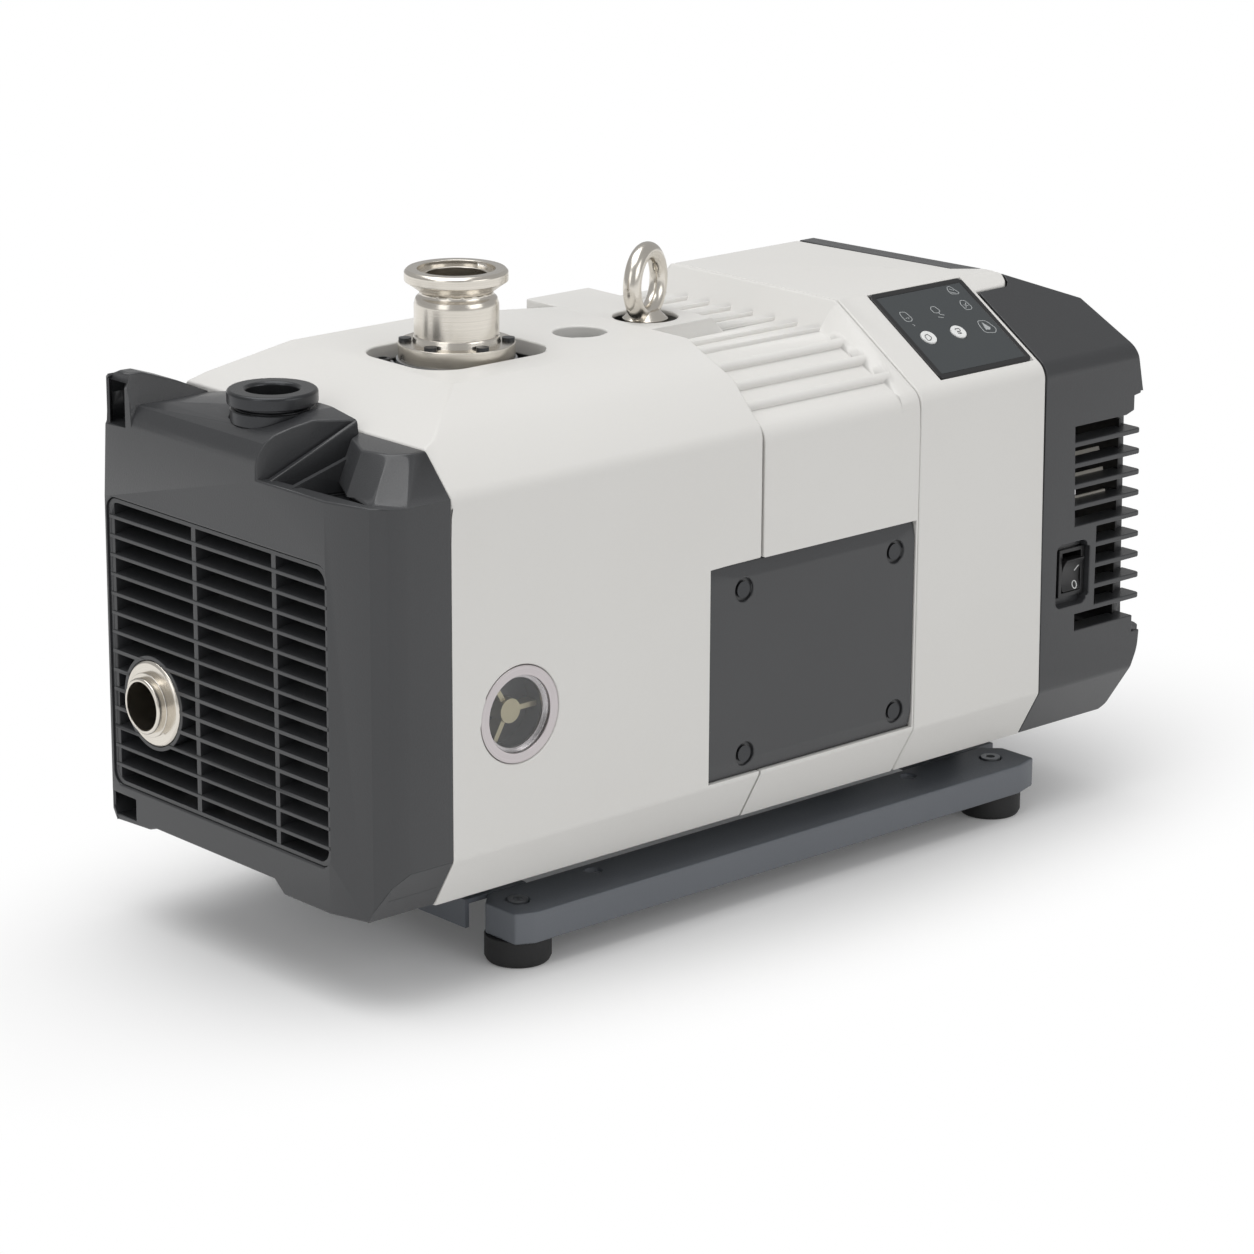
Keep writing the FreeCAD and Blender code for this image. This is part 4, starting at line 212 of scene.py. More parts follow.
def surface(tree, sockets):
    """The shader itself, joined to the output."""
    node(tree, "ShaderNodeOutputMaterial", None,
         {"Surface": node(tree, "ShaderNodeBsdfPrincipled", None, sockets)})


def bump(tree, height, depth, strength=1.0):
    """Small height differences that the light sees, depth in metres."""
    return node(tree, "ShaderNodeBump", None, {"Height": height, "Distance": depth, "Strength": strength})


# %% [markdown]
# The pale sections are sprayed with a warm light grey. Under studio light the coat is satin, with the
# faint orange peel of a sprayed part, about two millimetres from bump to bump. Modelled peel would take
# millions of faces, and a bump of three hundredths of a millimetre bends the highlights just as well.
# Plastic, rubber and cast metal are the same recipe with other numbers, so it is a function. The two
# noises add 0.11 to the roughness on average, so that much is taken off the value that is asked for.


# %% Painted sections
def moulded(name, colour, darker, rough, grain, depth, drift=0.12, metal=0.0, coat=0.0):
    """Paint, plastic or rubber: a tone that drifts, and a grain that shows in gloss and bump."""
    tree = start_finish(name)
    where = place_of(tree)
    slow = noise(tree, where, drift)
    fine = noise(tree, where, grain, 3.0)
    height = bump(tree, fine, depth)
    surface(tree, {"Base Color": tint(tree, slow * 0.7 + fine * 0.3, colour, darker),
                   "Roughness": fine * 0.16 + slow * 0.06 + (rough - 0.11),
                   "Metallic": metal, "Coat Weight": coat, "Coat Roughness": 0.12, "Normal": height})


moulded("white_plastic", shade(226, 225, 222), shade(221, 219, 215), 0.42, 0.0016, 0.00003)
print("finishes", len(finishes))

# %% [markdown]
# The end covers are moulded in a grained dark plastic. The grain is leathery and under a millimetre
# wide. It breaks the highlights up, so the corners glow softly instead of shining, and a thin coat on
# top keeps the sheen that moulded plastic has at a low angle. The small plastic parts differ in tone.

# %% Dark covers and small plastic parts
moulded("dark_plastic", shade(58, 59, 61), shade(48, 49, 51), 0.38, 0.0009, 0.00009, coat=0.2)
moulded("grey_plastic", shade(84, 87, 92), shade(76, 79, 84), 0.5, 0.0009, 0.00007)
moulded("black_plastic", shade(36, 36, 37), shade(30, 30, 31), 0.36, 0.0008, 0.00003)
moulded("smoked_plastic", shade(50, 52, 56), shade(40, 42, 46), 0.3, 0.0008, 0.00002)
moulded("pale_plastic", shade(200, 196, 186), shade(188, 184, 174), 0.45, 0.001, 0.00004)
moulded("seal_plastic", shade(226, 222, 208), shade(214, 210, 196), 0.5, 0.001, 0.00004)
moulded("white_key", shade(232, 233, 232), shade(226, 227, 226), 0.3, 0.0006, 0.00001)
moulded("panel_film", shade(64, 68, 70), shade(58, 62, 64), 0.34, 0.0005, 0.00001)
moulded("panel_print", shade(178, 181, 182), shade(168, 171, 172), 0.4, 0.0008, 0.00001)
moulded("board_green", shade(34, 92, 58), shade(28, 76, 48), 0.4, 0.002, 0.00006)
print("finishes", len(finishes))

# %% [markdown]
# The frame is powder-coated steel in a blue grey, and it stands on black rubber. Cast and wound parts
# inside show only through the louvres, the grille and the window, but they get the finish of the real
# material. A metal takes its colour from what it reflects, so the recipe's metal value goes up with it.

# %% Frame, rubber and metals
moulded("frame_paint", shade(104, 108, 114), shade(95, 99, 105), 0.38, 0.0012, 0.00005)
moulded("black_rubber", shade(24, 24, 25), shade(30, 30, 31), 0.62, 0.0014, 0.00006)
moulded("cast_aluminium", shade(178, 179, 181), shade(158, 159, 161), 0.5, 0.0018, 0.00012, metal=0.85)
moulded("cast_iron", shade(88, 89, 92), shade(74, 75, 78), 0.55, 0.0016, 0.00012, metal=0.6)
moulded("copper_windings", shade(176, 96, 52), shade(150, 78, 40), 0.4, 0.0012, 0.0002, drift=0.01, metal=0.5)
moulded("zinc_steel", shade(186, 188, 190), shade(168, 170, 172), 0.34, 0.0006, 0.00002, metal=1.0)
moulded("bearing_steel", shade(196, 197, 199), shade(180, 181, 183), 0.24, 0.0005, 0.00001, metal=1.0)
moulded("blackened_steel", shade(70, 71, 73), shade(54, 55, 57), 0.3, 0.0007, 0.00002, metal=0.7)
moulded("bronze", shade(190, 180, 152), shade(172, 162, 134), 0.4, 0.0006, 0.00001, metal=0.7)
print("finishes", len(finishes))

# %% [markdown]
# The inlet, the exhaust stub and the window ring are turned from stainless steel. A lathe leaves rings,
# so the noise here is stretched round the piece's own axis: it varies with the radius and the height
# and hardly at all with the angle. The Anisotropic socket could give the same streaks, but it needs a
# tangent from a UV map, and this way the rings also show in the colour.


# %% Turned steel
def turned(name, centre, axis, pitch=0.00035, rough=0.2, light=shade(236, 231, 222),
           dark=shade(206, 200, 190)):
    """Stainless steel with the fine rings that a lathe leaves round an axis."""
    tree = start_finish(name)
    where = place_of(tree, centre)
    parts = node(tree, "ShaderNodeSeparateXYZ", None, {"Vector": where})
    radius = distance(*[parts.out(letter) for letter in "XYZ" if letter != axis])
    rings = noise(tree, node(tree, "ShaderNodeCombineXYZ", None, {0: radius, 1: parts.out(axis)}), pitch, 1.0)
    slow = noise(tree, where, 0.02)
    surface(tree, {"Base Color": tint(tree, rings * 0.6 + slow * 0.4, light, dark),
                   "Roughness": rings * 0.16 + (rough - 0.05), "Metallic": 1.0,
                   "Normal": bump(tree, rings, 0.00001, 0.7)})


STUB_Y, STUB_Z = 70.2, 127.4
WINDOW_X, WINDOW_Z = 95.0, 146.8

turned("stainless", spot(INLET_X, 0.0, 0.0), "Z")
turned("stainless_stub", spot(0.0, STUB_Y, STUB_Z), "X")
turned("stainless_window", spot(WINDOW_X, 0.0, WINDOW_Z), "Y", 0.0005, 0.34,
       shade(206, 200, 201), shade(186, 180, 181))
print("finishes", len(finishes))

# %% [markdown]
# The sight glass is clear. Its shader only needs transmission and a low roughness, and those are the
# same all over, so they are typed on the shader's own sockets.

# %% Glass
surface(start_finish("clear_glass"), {"Base Color": (0.97, 0.985, 0.985, 1.0), "Roughness": 0.02,
                                      "IOR": 1.46, "Transmission Weight": 1.0})
print("finishes", len(finishes))

# %% [markdown]
# Every piece ends the same way: its mesh gets a finish and smooth shading, and the piece is told which
# body of the pump it rides on, so that it moves with it. Shading is smooth everywhere and broken again
# at sharp edges, which keeps flat faces flat without a modifier.


# %% A piece and its body
def placed(name, data, body):
    """Puts mesh or curve data in the scene as a piece that rides on a body."""
    piece = bpy.data.objects.new(name, data)
    bpy.context.scene.collection.objects.link(piece)
    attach(piece, body)
    return piece


def finished(name, mesh, finish, body, sharp=40.0):
    """Makes a bmesh into a piece with smooth shading, apart from edges sharper than an angle."""
    data = bpy.data.meshes.new(name)
    mesh.to_mesh(data)
    mesh.free()
    data.materials.append(finishes[finish])
    data.polygons.foreach_set("use_smooth", [True] * len(data.polygons))
    data.set_sharp_from_angle(angle=math.radians(sharp))
    print(name, len(data.polygons), "faces")
    return placed(name, data, body)


# %% [markdown]
# A solid from CAD has razor edges, and no real part has: a moulded cover has a small radius on every
# corner, and that radius is what catches the light. A copy of the node is merged into one skin, and its
# flat triangles are dissolved into whole faces, because a bevel needs an edge with one face on each
# side. Only edges that stick out are rounded, and a ray from each tells whether it looks across the
# hollow of its own case, where nobody sees it.

# %% The skin of a node and its outer edges
SAME_POINT = 0.000002         # metres between corners that are one point
FLAT = math.radians(0.5)      # the most that triangles of one flat face differ
OFF_SKIN = 0.0003             # metres from an edge to the start of its rays
FAR_WALL = 0.17               # metres that a ray crosses only inside a hollow case


def whole_skin(node_name):
    """A node's triangles as one skin, with flat areas as single faces."""
    mesh = bmesh.new()
    mesh.from_mesh(frame["nodes"][node_name].data)
    bmesh.ops.remove_doubles(mesh, verts=mesh.verts, dist=SAME_POINT)
    bmesh.ops.dissolve_limit(mesh, angle_limit=FLAT, verts=mesh.verts, edges=mesh.edges,
                             use_dissolve_boundaries=False, delimit={"NORMAL"})
    return mesh


def outer_edges(mesh, least):
    """Convex edges sharper than an angle, in degrees, that don't face the far wall of their own case."""
    tree = BVHTree.FromBMesh(mesh)
    chosen = []
    for edge in mesh.edges:
        if len(edge.link_faces) != 2 or not edge.is_convex or edge.calc_face_angle() < math.radians(least):
            continue
        middle = (edge.verts[0].co + edge.verts[1].co) / 2
        looks = [tree.ray_cast(middle + face.normal * OFF_SKIN, face.normal)[3] for face in edge.link_faces]
        if all(reach is None or reach < FAR_WALL for reach in looks):
            chosen.append(edge)
    return chosen


def key_of(edge):
    """A name for an edge that is the same in every copy of its skin."""
    return frozenset(vert.co.to_tuple(6) for vert in edge.verts)


print("front cover has", len(whole_skin("front_cover").faces), "whole faces")

# %% [markdown]
# A bevel can turn small faces over where many edges meet. The Bevel modifier's clamp would avoid that by
# thinning every radius on the piece, so the operator is tried without it instead. Where triangles come
# out turned over, the edges close to them stay sharp, and the bevel is tried again from a fresh skin.

# %% Rounding without folds
TRIES = 6
KEPT_SHARP_WITHIN = 2.5       # widths of the bevel round a fold
SLIVER = 2e-7                 # twice the area of a triangle too thin to judge, in square metres
TURNED_OVER = 0.5             # a triangle's normal along its face's, as a cosine


def folded(mesh):
    """Corners of the triangles that a bevel has turned over."""
    corners = []
    for loops in mesh.calc_loop_triangles():
        a, b, c = [loop.vert.co for loop in loops]
        across = (b - a).cross(c - a)
        if across.length > SLIVER and across.normalized().dot(loops[0].face.normal) < TURNED_OVER:
            corners += [a.copy(), b.copy(), c.copy()]
    return corners


def rounded_skin(node_name, width, steps, least):
    """The node's skin with its outer edges rounded, apart from those beside a face that would fold."""
    kept_sharp = set()
    for attempt in range(TRIES):
        mesh = whole_skin(node_name)
        edges = [edge for edge in outer_edges(mesh, least) if key_of(edge) not in kept_sharp]
        bmesh.ops.bevel(mesh, geom=edges, offset=width, offset_type="OFFSET", segments=steps, profile=0.5,
                        affect="EDGES", clamp_overlap=False, material=-1, loop_slide=True)
        mesh.normal_update()
        bad = folded(mesh)
        if not bad:
            return mesh
        mesh.free()
        near = KDTree(len(bad))
        for index, corner in enumerate(bad):
            near.insert(corner, index)
        near.balance()
        mesh = whole_skin(node_name)
        kept_sharp.update(key_of(edge) for edge in mesh.edges
                          if min(near.find(vert.co)[2] for vert in edge.verts) < KEPT_SHARP_WITHIN * width)
        mesh.free()
    return whole_skin(node_name)


# %% [markdown]
# The rounded copy then stands for its node. Big covers get about a millimetre, as their moulds would
# give them, and small fittings half of that or less. Weighted normals keep the broad faces flat, so
# that all the bending happens in the radius. A few pieces have a finish of their own.

# %% Rounded copies of the nodes
rounded = {
    "front_cowl": 0.0012, "ribbed_cowl": 0.0009, "rear_hood": 0.0012, "rear_cover": 0.0006,
    "front_cover": 0.0011, "front_grille": 0.0003, "base_rail_near": 0.0012, "base_rail_far": 0.0012,
    "rubber_feet": 0.0010, "access_panel": 0.0007, "control_panel_bezel": 0.0006, "inlet_port": 0.0005,
    "gas_ballast_port": 0.0006, "exhaust_nipple": 0.0004, "window_ring": 0.0005, "rocker_bezel": 0.00035,
    "rocker_button": 0.0005, "power_inlet": 0.0004, "start_key": 0.0003, "stop_key": 0.0003,
    "service_plug": 0.0003,
}
special = {
    "exhaust_nipple": "stainless_stub", "window_ring": "stainless_window", "window_plug": "bronze",
    "window_cup": "smoked_plastic", "gas_ballast_port": "blackened_steel", "inlet_screws": "blackened_steel",
    "access_panel_screws": "blackened_steel", "front_cover_screws": "blackened_steel",
}


def dressed(node_name, width, steps=2, least=28.0):
    """A copy of a node with rounded edges, which stands for the node."""
    slot = slot_of_node[node_name]
    mesh = rounded_skin(node_name, width, steps, least)
    piece = finished(node_name + "_skin", mesh, special.get(node_name, slot), body_of_node[node_name])
    weighted = piece.modifiers.new("weighted", "WEIGHTED_NORMAL")
    weighted.keep_sharp = True
    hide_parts(node_name)


for node_name, width in rounded.items():
    dressed(node_name, width)

# %% [markdown]
# The other nodes sit inside the case or are too small for a radius to show. They keep their own mesh,
# and only the finish in each material slot changes.

# %% The nodes that keep their shape
for node_name, slot in slot_of_node.items():
    if node_name not in rounded:
        for holder in frame["nodes"][node_name].material_slots:
            holder.material = finishes[special.get(node_name, slot)]
print("plain nodes", len(slot_of_node) - len(rounded))

# %% [markdown]
# Some forms are thinner than the drawings of the covers give them. The end cover keeps a thin wall round
# its two far pockets and along the lower folds of both sides. Each wall is one flat face, extruded the
# way inwards. A Solidify modifier would do it too, but these walls differ in thickness and direction.
# They start a hair under the skin, so that two faces never share one plane, which would flicker.

# %% Thin walls of the front cover
SINK = 0.06                   # millimetres under the skin


def extruded(mesh, faces, shift):
    """Extrudes faces by a shift, in metres, and so gives a flat form its thickness."""
    grown = bmesh.ops.extrude_face_region(mesh, geom=faces)["geom"]
    corners = [part for part in grown if isinstance(part, bmesh.types.BMVert)]
    bmesh.ops.translate(mesh, verts=corners, vec=shift)


def slab(mesh, corners, shift):
    """Adds a flat face by its corners and extrudes it."""
    extruded(mesh, [mesh.faces.new([mesh.verts.new(corner) for corner in corners])], shift)


def wall(mesh, corners, inwards, thickness):
    """Adds a wall: its outer corners in millimetres, a direction to its inner face and a thickness."""
    way = Vector(inwards).normalized() * MM
    slab(mesh, [spot(*corner) + way * SINK for corner in corners], way * thickness)


def facing_out(mesh):
    """Turns the faces of closed shells outwards."""
    bmesh.ops.recalc_face_normals(mesh, faces=mesh.faces)
    return mesh


walls = bmesh.new()
wall(walls, [(0, 103.2, 272), (0, 103.2, 298.9), (2.5, 105.7, 296.5), (5.9, 109.1, 289), (7.1, 110.3, 272)],
     (1, -1, 0), 1.5)
wall(walls, [(0, 101.5, 300.5), (0, 103.2, 298.9), (2.5, 105.7, 296.5), (14.5, 105.7, 296.5),
             (14.5, 101.5, 300.5)], (0, -0.69, -0.724), 1.3)
wall(walls, [(2.5, 105.7, 296.5), (5.9, 109.1, 289), (14.5, 109.1, 289), (14.5, 105.7, 296.5)],
     (0, -0.911, -0.413), 1.3)
wall(walls, [(0, 105, 54), (0, 108.5, 59.74), (9, 117.5, 74.5), (49.5, 117.5, 74.5), (49.5, 105, 54)],
     (0, -0.854, 0.521), 1.6)
wall(walls, [(0, 108.5, 59.74), (0, 108.5, 71), (5, 113.5, 71), (5, 113.5, 67.94)], (1, -1, 0), 1.5)
wall(walls, [(6.5, -102, 51), (7.5, -105.5, 57), (13, -113.5, 70.7), (22, -117.5, 77.5),
             (49.5, -117.5, 77.5), (49.5, -102, 51)], (0, 0.863, 0.505), 1.6)
finished("front_cover_walls", facing_out(walls), "dark_plastic", "housing")

# %% [markdown]
# Behind the louvres, strips of the pale fan cowl bend round the fan, above and below the switch. They are
# narrow bands only where light falls on the cowl between the slats, so they are partly the cowl's own
# pale colour and partly painted light, with the black baffle behind as the fins' painted shadow. A strip
# could be cut from a tube, but a small profile that the spin operator turns about the shaft through a
# few degrees gives it in one step. A part turn starts from a face, which becomes the two ends. A full
# turn, which the screw and the collar need further on, starts from edges alone, so that no wall is left
# inside, and its seam and the points on the axis are merged.

# %% Lit bands of the fan cowl in the rear cover
AXES = {"X": (1, 0, 0), "Z": (0, 0, 1)}
FULL_TURN = 359.9             # degrees, less a little for rounding
SEAM = 0.00001                # metres between points that a full turn brings together
SHAFT_Z = 172.0
LIT_BAND_PROFILE = [(105.0, 511.0), (106.5, 511.0), (106.5, 549.0), (105.0, 549.0)]
LIT_BAND_ANGLES = ((-86.0, -83.0), (-79.5, -76.0), (-72.5, -69.5), (-113.0, -109.0), (-118.5, -116.0))


def turned_about(mesh, profile, centre, axis, start, end, steps):
    """Spins a profile, as (radius, along) in millimetres, from one angle to another in degrees."""
    angle, whole = math.radians(start), abs(end - start) > FULL_TURN
    side, rise = math.sin(angle), math.cos(angle)
    ring = []
    for radius, along in profile:
        aside, above = radius * side, radius * rise
        shift = (along, aside, above) if axis == "X" else (aside, above, along)
        ring.append(mesh.verts.new(spot(*[a + b for a, b in zip(centre, shift)])))
    outline = [mesh.edges.new(pair) for pair in zip(ring, ring[1:])] if whole else [mesh.faces.new(ring)]
    bmesh.ops.spin(mesh, geom=ring + outline, cent=spot(*centre), axis=AXES[axis],
                   angle=math.radians(start - end), steps=steps, use_merge=whole)
    if whole:
        bmesh.ops.remove_doubles(mesh, verts=mesh.verts, dist=SEAM)


# pale strips only where light falls on the fan cowl between the slats: painted light on the cowl's own pale
# colour
lit_bands = bmesh.new()
for start, end in LIT_BAND_ANGLES:
    turned_about(lit_bands, LIT_BAND_PROFILE, (0, 0, SHAFT_Z), "X", start, end, 4)
finished("cowl_lit_bands", facing_out(lit_bands), "pale_plastic", "housing")

# %% [markdown]
# A black baffle behind the lit bands closes the view through the case, and its black is painted shade
# for the dark inside of the rear cover. It is a thin plate that fills the cover round a hole for the fan
# cowl. Cutting a hole in a plate takes a boolean, and joining two loops is simpler and always clean: one
# circle becomes the hole, another is pushed out to the plate's outline, and the bridge operator fills
# what lies between.


# %% Baffle in the rear cover
def ring_plate(hole, reach, corners, place, shift):
    """Bridges a round hole to the outline that reach gives, and extrudes the plate by a shift, in metres."""
    mesh = bmesh.new()
    rims = []
    for outline in (lambda side, rise: hole, reach):
        circle = bmesh.ops.create_circle(mesh, segments=corners, radius=1.0)["verts"]
        rims += {edge for corner in circle for edge in corner.link_edges}
        for corner in circle:
            side, rise = corner.co.x, corner.co.y
            radius = outline(side, rise)
            corner.co = spot(*place(radius * side, radius * rise))
    extruded(mesh, bmesh.ops.bridge_loops(mesh, edges=rims)["faces"], shift)
    return mesh


BAFFLE_X, BAFFLE_HOLE_R, BAFFLE_RIM = 556.0, 77.0, 1.0
BAFFLE_SIDE, BAFFLE_ROOF, BAFFLE_BELLY = 108.5, 56.0, 66.0


def baffle_reach(side, rise):
    """How far the baffle reaches from the shaft in one direction, to the cover's sides, roof or belly."""
    tall = BAFFLE_ROOF if rise > 0 else BAFFLE_BELLY
    reach = min(BAFFLE_SIDE / max(abs(side), 1e-6), tall / max(abs(rise), 1e-6))
    return max(BAFFLE_HOLE_R + BAFFLE_RIM, reach)


# black plate: painted shade for the inside of the rear cover, and a wall across the view through it
baffle = ring_plate(BAFFLE_HOLE_R, baffle_reach, 96, lambda y, z: (BAFFLE_X, y, SHAFT_Z + z), (0.0015, 0, 0))
finished("shade_baffle", facing_out(baffle), "black_plastic", "housing")

# %% [markdown]
# The opening round the inlet shows a dark plate under the roof, a curved rib beside the flange and the
# head of a socket screw. The plate is bridged like the baffle, from a circle to a rounded rectangle, and
# the rib and the screw are spun profiles. The screw's profile starts and ends on its own axis, with a
# hollow for the key.


# %% Recess round the inlet
RECESS_Z, RECESS_HOLE_R = 295.5, 25.0
RECESS_HALF_L, RECESS_HALF_W, SQUARENESS = 45.0, 37.5, 4
SCREW_AT = (121.0, 23.5, 0)
RIB = [(33.8, 297.6), (35.6, 297.6), (35.2, 303.6), (34.2, 303.6)]
SCREW = [(0.0, 297.6), (4.4, 297.6), (4.6, 298.2), (4.6, 303.4), (4.0, 304.2), (2.4, 304.2), (2.2, 301.8),
         (0.0, 301.8)]


def recess_reach(side, rise):
    """Distance from the inlet's axis to the edge of a rounded rectangle in one direction."""
    spread = abs(side / RECESS_HALF_L) ** SQUARENESS + abs(rise / RECESS_HALF_W) ** SQUARENESS
    return spread ** (-1 / SQUARENESS)


recess = ring_plate(RECESS_HOLE_R, recess_reach, 80, lambda x, y: (INLET_X + x, y, RECESS_Z), (0, 0, 0.002))
finished("recess_plate", facing_out(recess), "smoked_plastic", "housing")

rib = bmesh.new()
turned_about(rib, RIB, (INLET_X, 0, 0), "Z", -58.0, -142.0, 28)
finished("recess_rib", facing_out(rib), "cast_aluminium", "housing")

head = bmesh.new()
turned_about(head, SCREW, SCREW_AT, "Z", 0.0, 360.0, 40)
finished("recess_screw", facing_out(head), "blackened_steel", "housing", sharp=30.0)

# %% [markdown]
# The gas ballast port has a plain collar under its flange, which fills the neck down to the cover. It is
# a closed profile turned all the way round, so its last point repeats its first.

# %% Collar of the gas ballast port
PORT_X = 30.0
COLLAR = [(19.2, 289.7), (21.7, 289.7), (21.9, 290.0), (21.9, 296.0), (21.3, 296.7), (19.2, 296.7),
          (19.2, 289.7)]

collar = bmesh.new()
turned_about(collar, COLLAR, (PORT_X, 0, 0), "Z", 0.0, 360.0, 72)
finished("port_collar", facing_out(collar), "blackened_steel", "housing", sharp=30.0)

# %% [markdown]
# The marks on the panel are printed. They could be a picture on the film, but a drawn line stays crisp at
# any distance. Each is a fine wire that lies half sunk in the film: the line's points are given on the
# panel, to the right and up its slope, in millimetres, and a short curve rounds every corner.

# %% Lines on the panel
SLOPE_FOOT = (405.0, -117.5, 268.0)
FILM_UP, FILM_OUT = 8.3, 0.3  # millimetres from the foot of the slope to the film, and off the slope

panel_up = Vector((0.0, 66.0, 42.5)).normalized()
panel_out = Vector((0.0, -panel_up.z, panel_up.y))
panel_corner = spot(*SLOPE_FOOT) + panel_up * FILM_UP * MM + panel_out * FILM_OUT * MM
print("panel slope", round(math.degrees(math.asin(panel_up.z)), 1), "degrees")


def on_panel(u, v, lift=0.0):
    """A point to the right, up the slope and off the film, in millimetres from the panel's corner."""
    return panel_corner + Vector((u * MM, 0.0, 0.0)) + panel_up * v * MM + panel_out * lift * MM


def rounded_loop(points, cut=0.28, steps=4):
    """The same closed line with its corners rounded."""
    line = []
    for before, corner, after in zip(points[-1:] + points[:-1], points, points[1:] + points[:1]):
        first = [c + (b - c) * cut for b, c in zip(before, corner)]
        last = [c + (a - c) * cut for a, c in zip(after, corner)]
        for step in range(steps + 1):
            t = step / steps
            line.append(tuple((1 - t) ** 2 * f + 2 * t * (1 - t) * c + t * t * l
                              for f, c, l in zip(first, corner, last)))
    return line


def wires(name, lines, thickness, finish, body):
    """Fine raised lines; each line is its points and whether it closes."""
    data = bpy.data.curves.new(name, "CURVE")
    data.dimensions = "3D"
    data.bevel_depth = thickness * MM / 2
    data.bevel_resolution = 1
    for points, closed in lines:
        line = data.splines.new("POLY")
        line.points.add(len(points) - 1)
        line.use_cyclic_u = closed
        for target, point in zip(line.points, points):
            target.co = (*point, 1.0)
    data.materials.append(finishes[finish])
    placed(name, data, body)
    print(name, len(lines), "lines")


# %% [markdown]
# Five closed outlines and a few strokes make the signs. One sign is filled, so it is a small flat face,
# extruded down into the film like the walls of the cover.

# %% Signs on the panel
outlines = [
    [(59.04, 63.94), (61.21, 63.99), (63.97, 58.23), (62.57, 57.29), (57.55, 58.33), (57.73, 61.99)],
    [(59.54, 52.38), (63.05, 51.65), (64.03, 45.91), (62.19, 44.46), (58.42, 44.88), (57.81, 49.67)],
    [(35.63, 51.86), (38.55, 51.86), (39.88, 47.93), (37.57, 46.58), (34.6, 47.21), (34.32, 50.31)],
    [(11.43, 52.69), (15.35, 51.87), (16.35, 46.21), (14.39, 44.57), (10.71, 44.98), (10.25, 49.92)],
    [(59.25, 35.29), (64.81, 34.48), (67.58, 27.41), (64.89, 24.33), (57.41, 25.93), (57.82, 32.54)],
]
strokes = [
    [(59.18, 62.3), (61.8, 60.53)], [(57.89, 60.11), (61.51, 58.12)],
    [(59.36, 48.73), (62.42, 47.48)], [(62.21, 49.98), (59.58, 46.23)],
    [(38.0, 47.1), (37.68, 45.34), (40.21, 44.2)], [(38.22, 42.55), (34.61, 43.8)],
    [(11.46, 47.24), (14.77, 47.75), (13.47, 46.21)], [(12.9, 42.11), (14.23, 41.22), (12.84, 40.67)],
]
signs = [([on_panel(*point) for point in rounded_loop(outline)], True) for outline in outlines]
signs += [([on_panel(*point) for point in stroke], False) for stroke in strokes]
wires("panel_marks", signs, 0.5, "panel_print", "housing")

ARROW = [(61.15, 33.67), (64.02, 28.78), (62.68, 27.24), (59.69, 27.88)]
PRINT_TOP, PRINT_DEPTH = 0.2, 0.5

arrow = bmesh.new()
slab(arrow, [on_panel(u, v, PRINT_TOP) for u, v in ARROW], panel_out * -PRINT_DEPTH * MM)
finished("panel_arrow", facing_out(arrow), "panel_print", "housing")

# %% [markdown]
# The two keys and the rocker carry marks of their own, which ride with them. Their tops are curved, so
# each point is dropped on the node along a ray, and the wire follows the surface wherever that lies.


# %% Marks on the keys and the rocker
ABOVE_KEYS, OUTSIDE_Y = 20.0, -150.0
RING_X, RING_Z = 517.0, 135.3
RING_HALF_W, RING_HALF_H, RING_POINTS = 1.75, 2.2, 16


def laid(node_name, start, way):
    """Where a ray from a point first meets a node, in metres."""
    mesh = bmesh.new()
    mesh.from_mesh(frame["nodes"][node_name].data)
    hit = BVHTree.FromBMesh(mesh).ray_cast(start, Vector(way))[0]
    mesh.free()
    return hit


key_marks = {
    "start": [(14.02, 32.23), (16.46, 32.66), (17.41, 29.69), (14.71, 27.87), (12.95, 28.25), (13.28, 30.94)],
    "stop": [(37.85, 32.55), (41.08, 32.22), (40.98, 30.06), (38.02, 30.7), (40.46, 28.36), (37.75, 28.33)],
}
for key, outline in key_marks.items():
    points = [laid(key + "_key", on_panel(u, v, ABOVE_KEYS), -panel_out) for u, v in rounded_loop(outline)]
    wires(key + "_mark", [(points, key == "start")], 0.45, "blackened_steel", key + "_button")

turns = [2 * math.pi * step / RING_POINTS for step in range(RING_POINTS)]
ring = [(RING_X + RING_HALF_W * math.sin(turn), RING_Z + RING_HALF_H * math.cos(turn)) for turn in turns]
bar = [(516.8, 143.6), (518.0, 145.1), (519.2, 146.7)]
rocker_lines = [([laid("rocker_button", spot(x, OUTSIDE_Y, z), (0, 1, 0)) for x, z in line], line is ring)
                for line in (ring, bar)]
wires("rocker_marks", rocker_lines, 0.7, "white_key", "rocker")

# %% [markdown]
# The studio is a pale floor under one broad soft lamp, with a plain pale room all round. A paper sweep
# that curves up behind the pump is the usual floor. The room is as white as the paper, so a flat disc
# does the same here, and no view from the side or from behind meets a bend.

# %% Floor
FLOOR_R = 9.0

floor_mesh = bmesh.new()
bmesh.ops.create_circle(floor_mesh, cap_ends=True, segments=96, radius=FLOOR_R)
floor_data = bpy.data.meshes.new("floor")
floor_mesh.to_mesh(floor_data)
floor_mesh.free()
floor = bpy.data.objects.new("floor", floor_data)
bpy.context.scene.collection.objects.link(floor)
print("floor radius", FLOOR_R, "m")

# %% [markdown]
# Near the pump the floor is an ordinary matt surface, because it has to carry the shadow. Further out it
# fades to plain white, in an ellipse that is longer along the pump. The white is shown only to the
# camera, to reflections and through glass, so it throws no extra light on the pump. A floor that is only
# white would lose the shadow, and one that is only matt would look grey next to the white room.

# %% Floor finish
FLOOR_STRETCH = 0.45
FADE_START, FADE_END = 0.12, 0.25
FLOOR_LIFT = 0.06

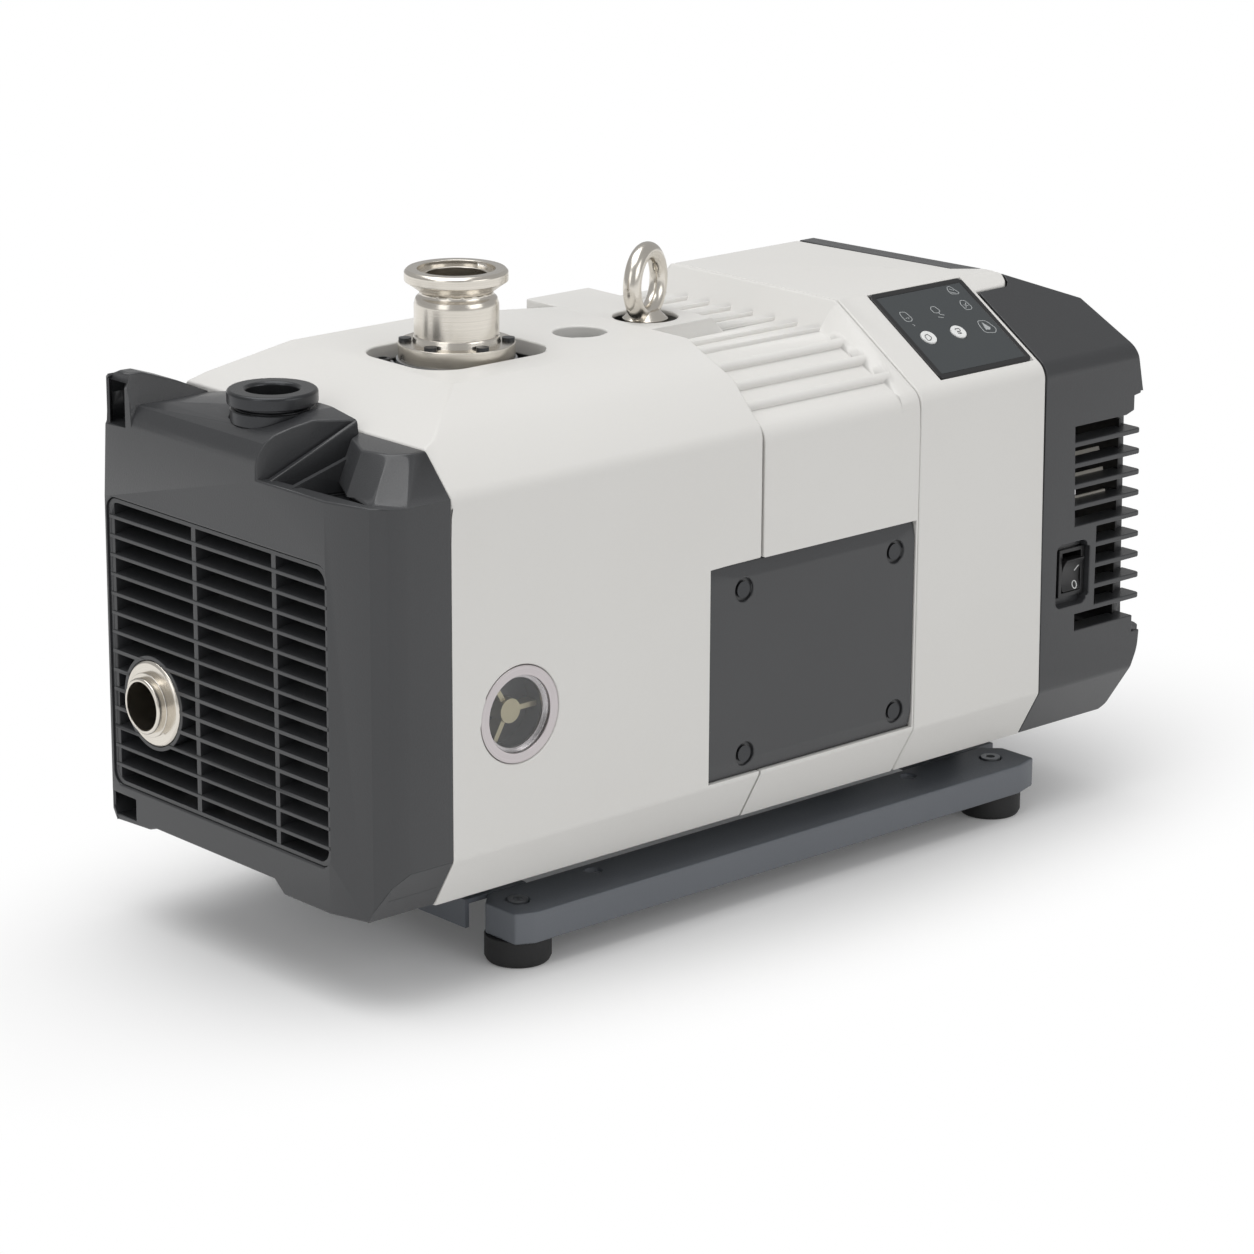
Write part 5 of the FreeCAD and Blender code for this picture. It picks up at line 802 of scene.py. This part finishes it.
floor_tree = start_finish("studio_floor")
seen = node(floor_tree, "ShaderNodeLightPath")
looks = seen.out("Is Camera Ray").math("MAXIMUM", seen.out("Is Glossy Ray"))
looks = looks.math("MAXIMUM", seen.out("Is Transmission Ray"))
floor_place = node(floor_tree, "ShaderNodeSeparateXYZ", None, {"Vector": place_of(floor_tree)})
far = node(floor_tree, "ShaderNodeMapRange", {"interpolation_type": "SMOOTHSTEP"},
           {"Value": distance(floor_place.out("X") * FLOOR_STRETCH, floor_place.out("Y")),
            "From Min": FADE_START, "From Max": FADE_END})
matt = node(floor_tree, "ShaderNodeBsdfDiffuse", None, {"Color": shade(240, 240, 240)})
lift = node(floor_tree, "ShaderNodeEmission", None, {"Strength": looks * FLOOR_LIFT})
carried = node(floor_tree, "ShaderNodeAddShader", None, {0: matt, 1: lift})
plain = node(floor_tree, "ShaderNodeEmission", None, {"Strength": 1.0})
node(floor_tree, "ShaderNodeOutputMaterial", None,
     {"Surface": node(floor_tree, "ShaderNodeMixShader", None, {0: far * looks, 1: carried, 2: plain})})
floor_data.materials.append(finishes["studio_floor"])
print("floor fades from", FADE_START, "to", FADE_END, "m beside the pump")

# %% [markdown]
# The room gives every side a soft even light, at less than half of full strength, and only the camera
# sees it at full white. A photographed studio would mirror its lamps in the steel, and a plain room
# keeps the paint's own colours.

# %% Room
ROOM_LIGHT = 0.45

world = bpy.data.worlds.new("room")
bpy.context.scene.world = world
world.use_nodes = True
world.node_tree.nodes.clear()
room_look = node(world.node_tree, "ShaderNodeLightPath").out("Is Camera Ray")
room = node(world.node_tree, "ShaderNodeBackground", None,
            {"Color": (1.0, 1.0, 1.0, 1.0), "Strength": room_look * (1.0 - ROOM_LIGHT) + ROOM_LIGHT})
node(world.node_tree, "ShaderNodeOutputWorld", None, {"Surface": room})
print("room light", ROOM_LIGHT)

# %% [markdown]
# Three soft boxes shape the pump. The large one overhead lights the roof and throws the soft shadow, the
# left one picks out the grille's slats and the near one fills the long side. Their powers are low enough
# for the pale paint to stay below white.


# %% Lamps
def lamp(name, place, aim, width, height, power):
    """A soft rectangular lamp that points at a spot, in metres and watts."""
    data = bpy.data.lights.new(name, "AREA")
    data.shape = "RECTANGLE"
    data.size = width
    data.size_y = height
    data.energy = power
    made = bpy.data.objects.new(name, data)
    made.location = place
    made.rotation_euler = (Vector(place) - Vector(aim)).to_track_quat("Z", "Y").to_euler()
    bpy.context.scene.collection.objects.link(made)
    print(name, power, "W")


lamp("softbox_over", (-0.4, 0.3, 2.6), (0.0, 0.0, 0.1), 2.6, 2.2, 40.0)
lamp("softbox_left", (-2.4, -0.5, 1.3), (0.0, 0.0, 0.15), 1.2, 1.6, 7.0)
lamp("softbox_near", (0.6, -2.6, 1.5), (0.0, 0.0, 0.15), 2.0, 1.4, 14.0)

# %% [markdown]
# Standard shows a colour on the screen about as it was picked, where a filmic transform would grey the
# white paint.

# %% Colour handling
bpy.context.scene.view_settings.view_transform = "Standard"
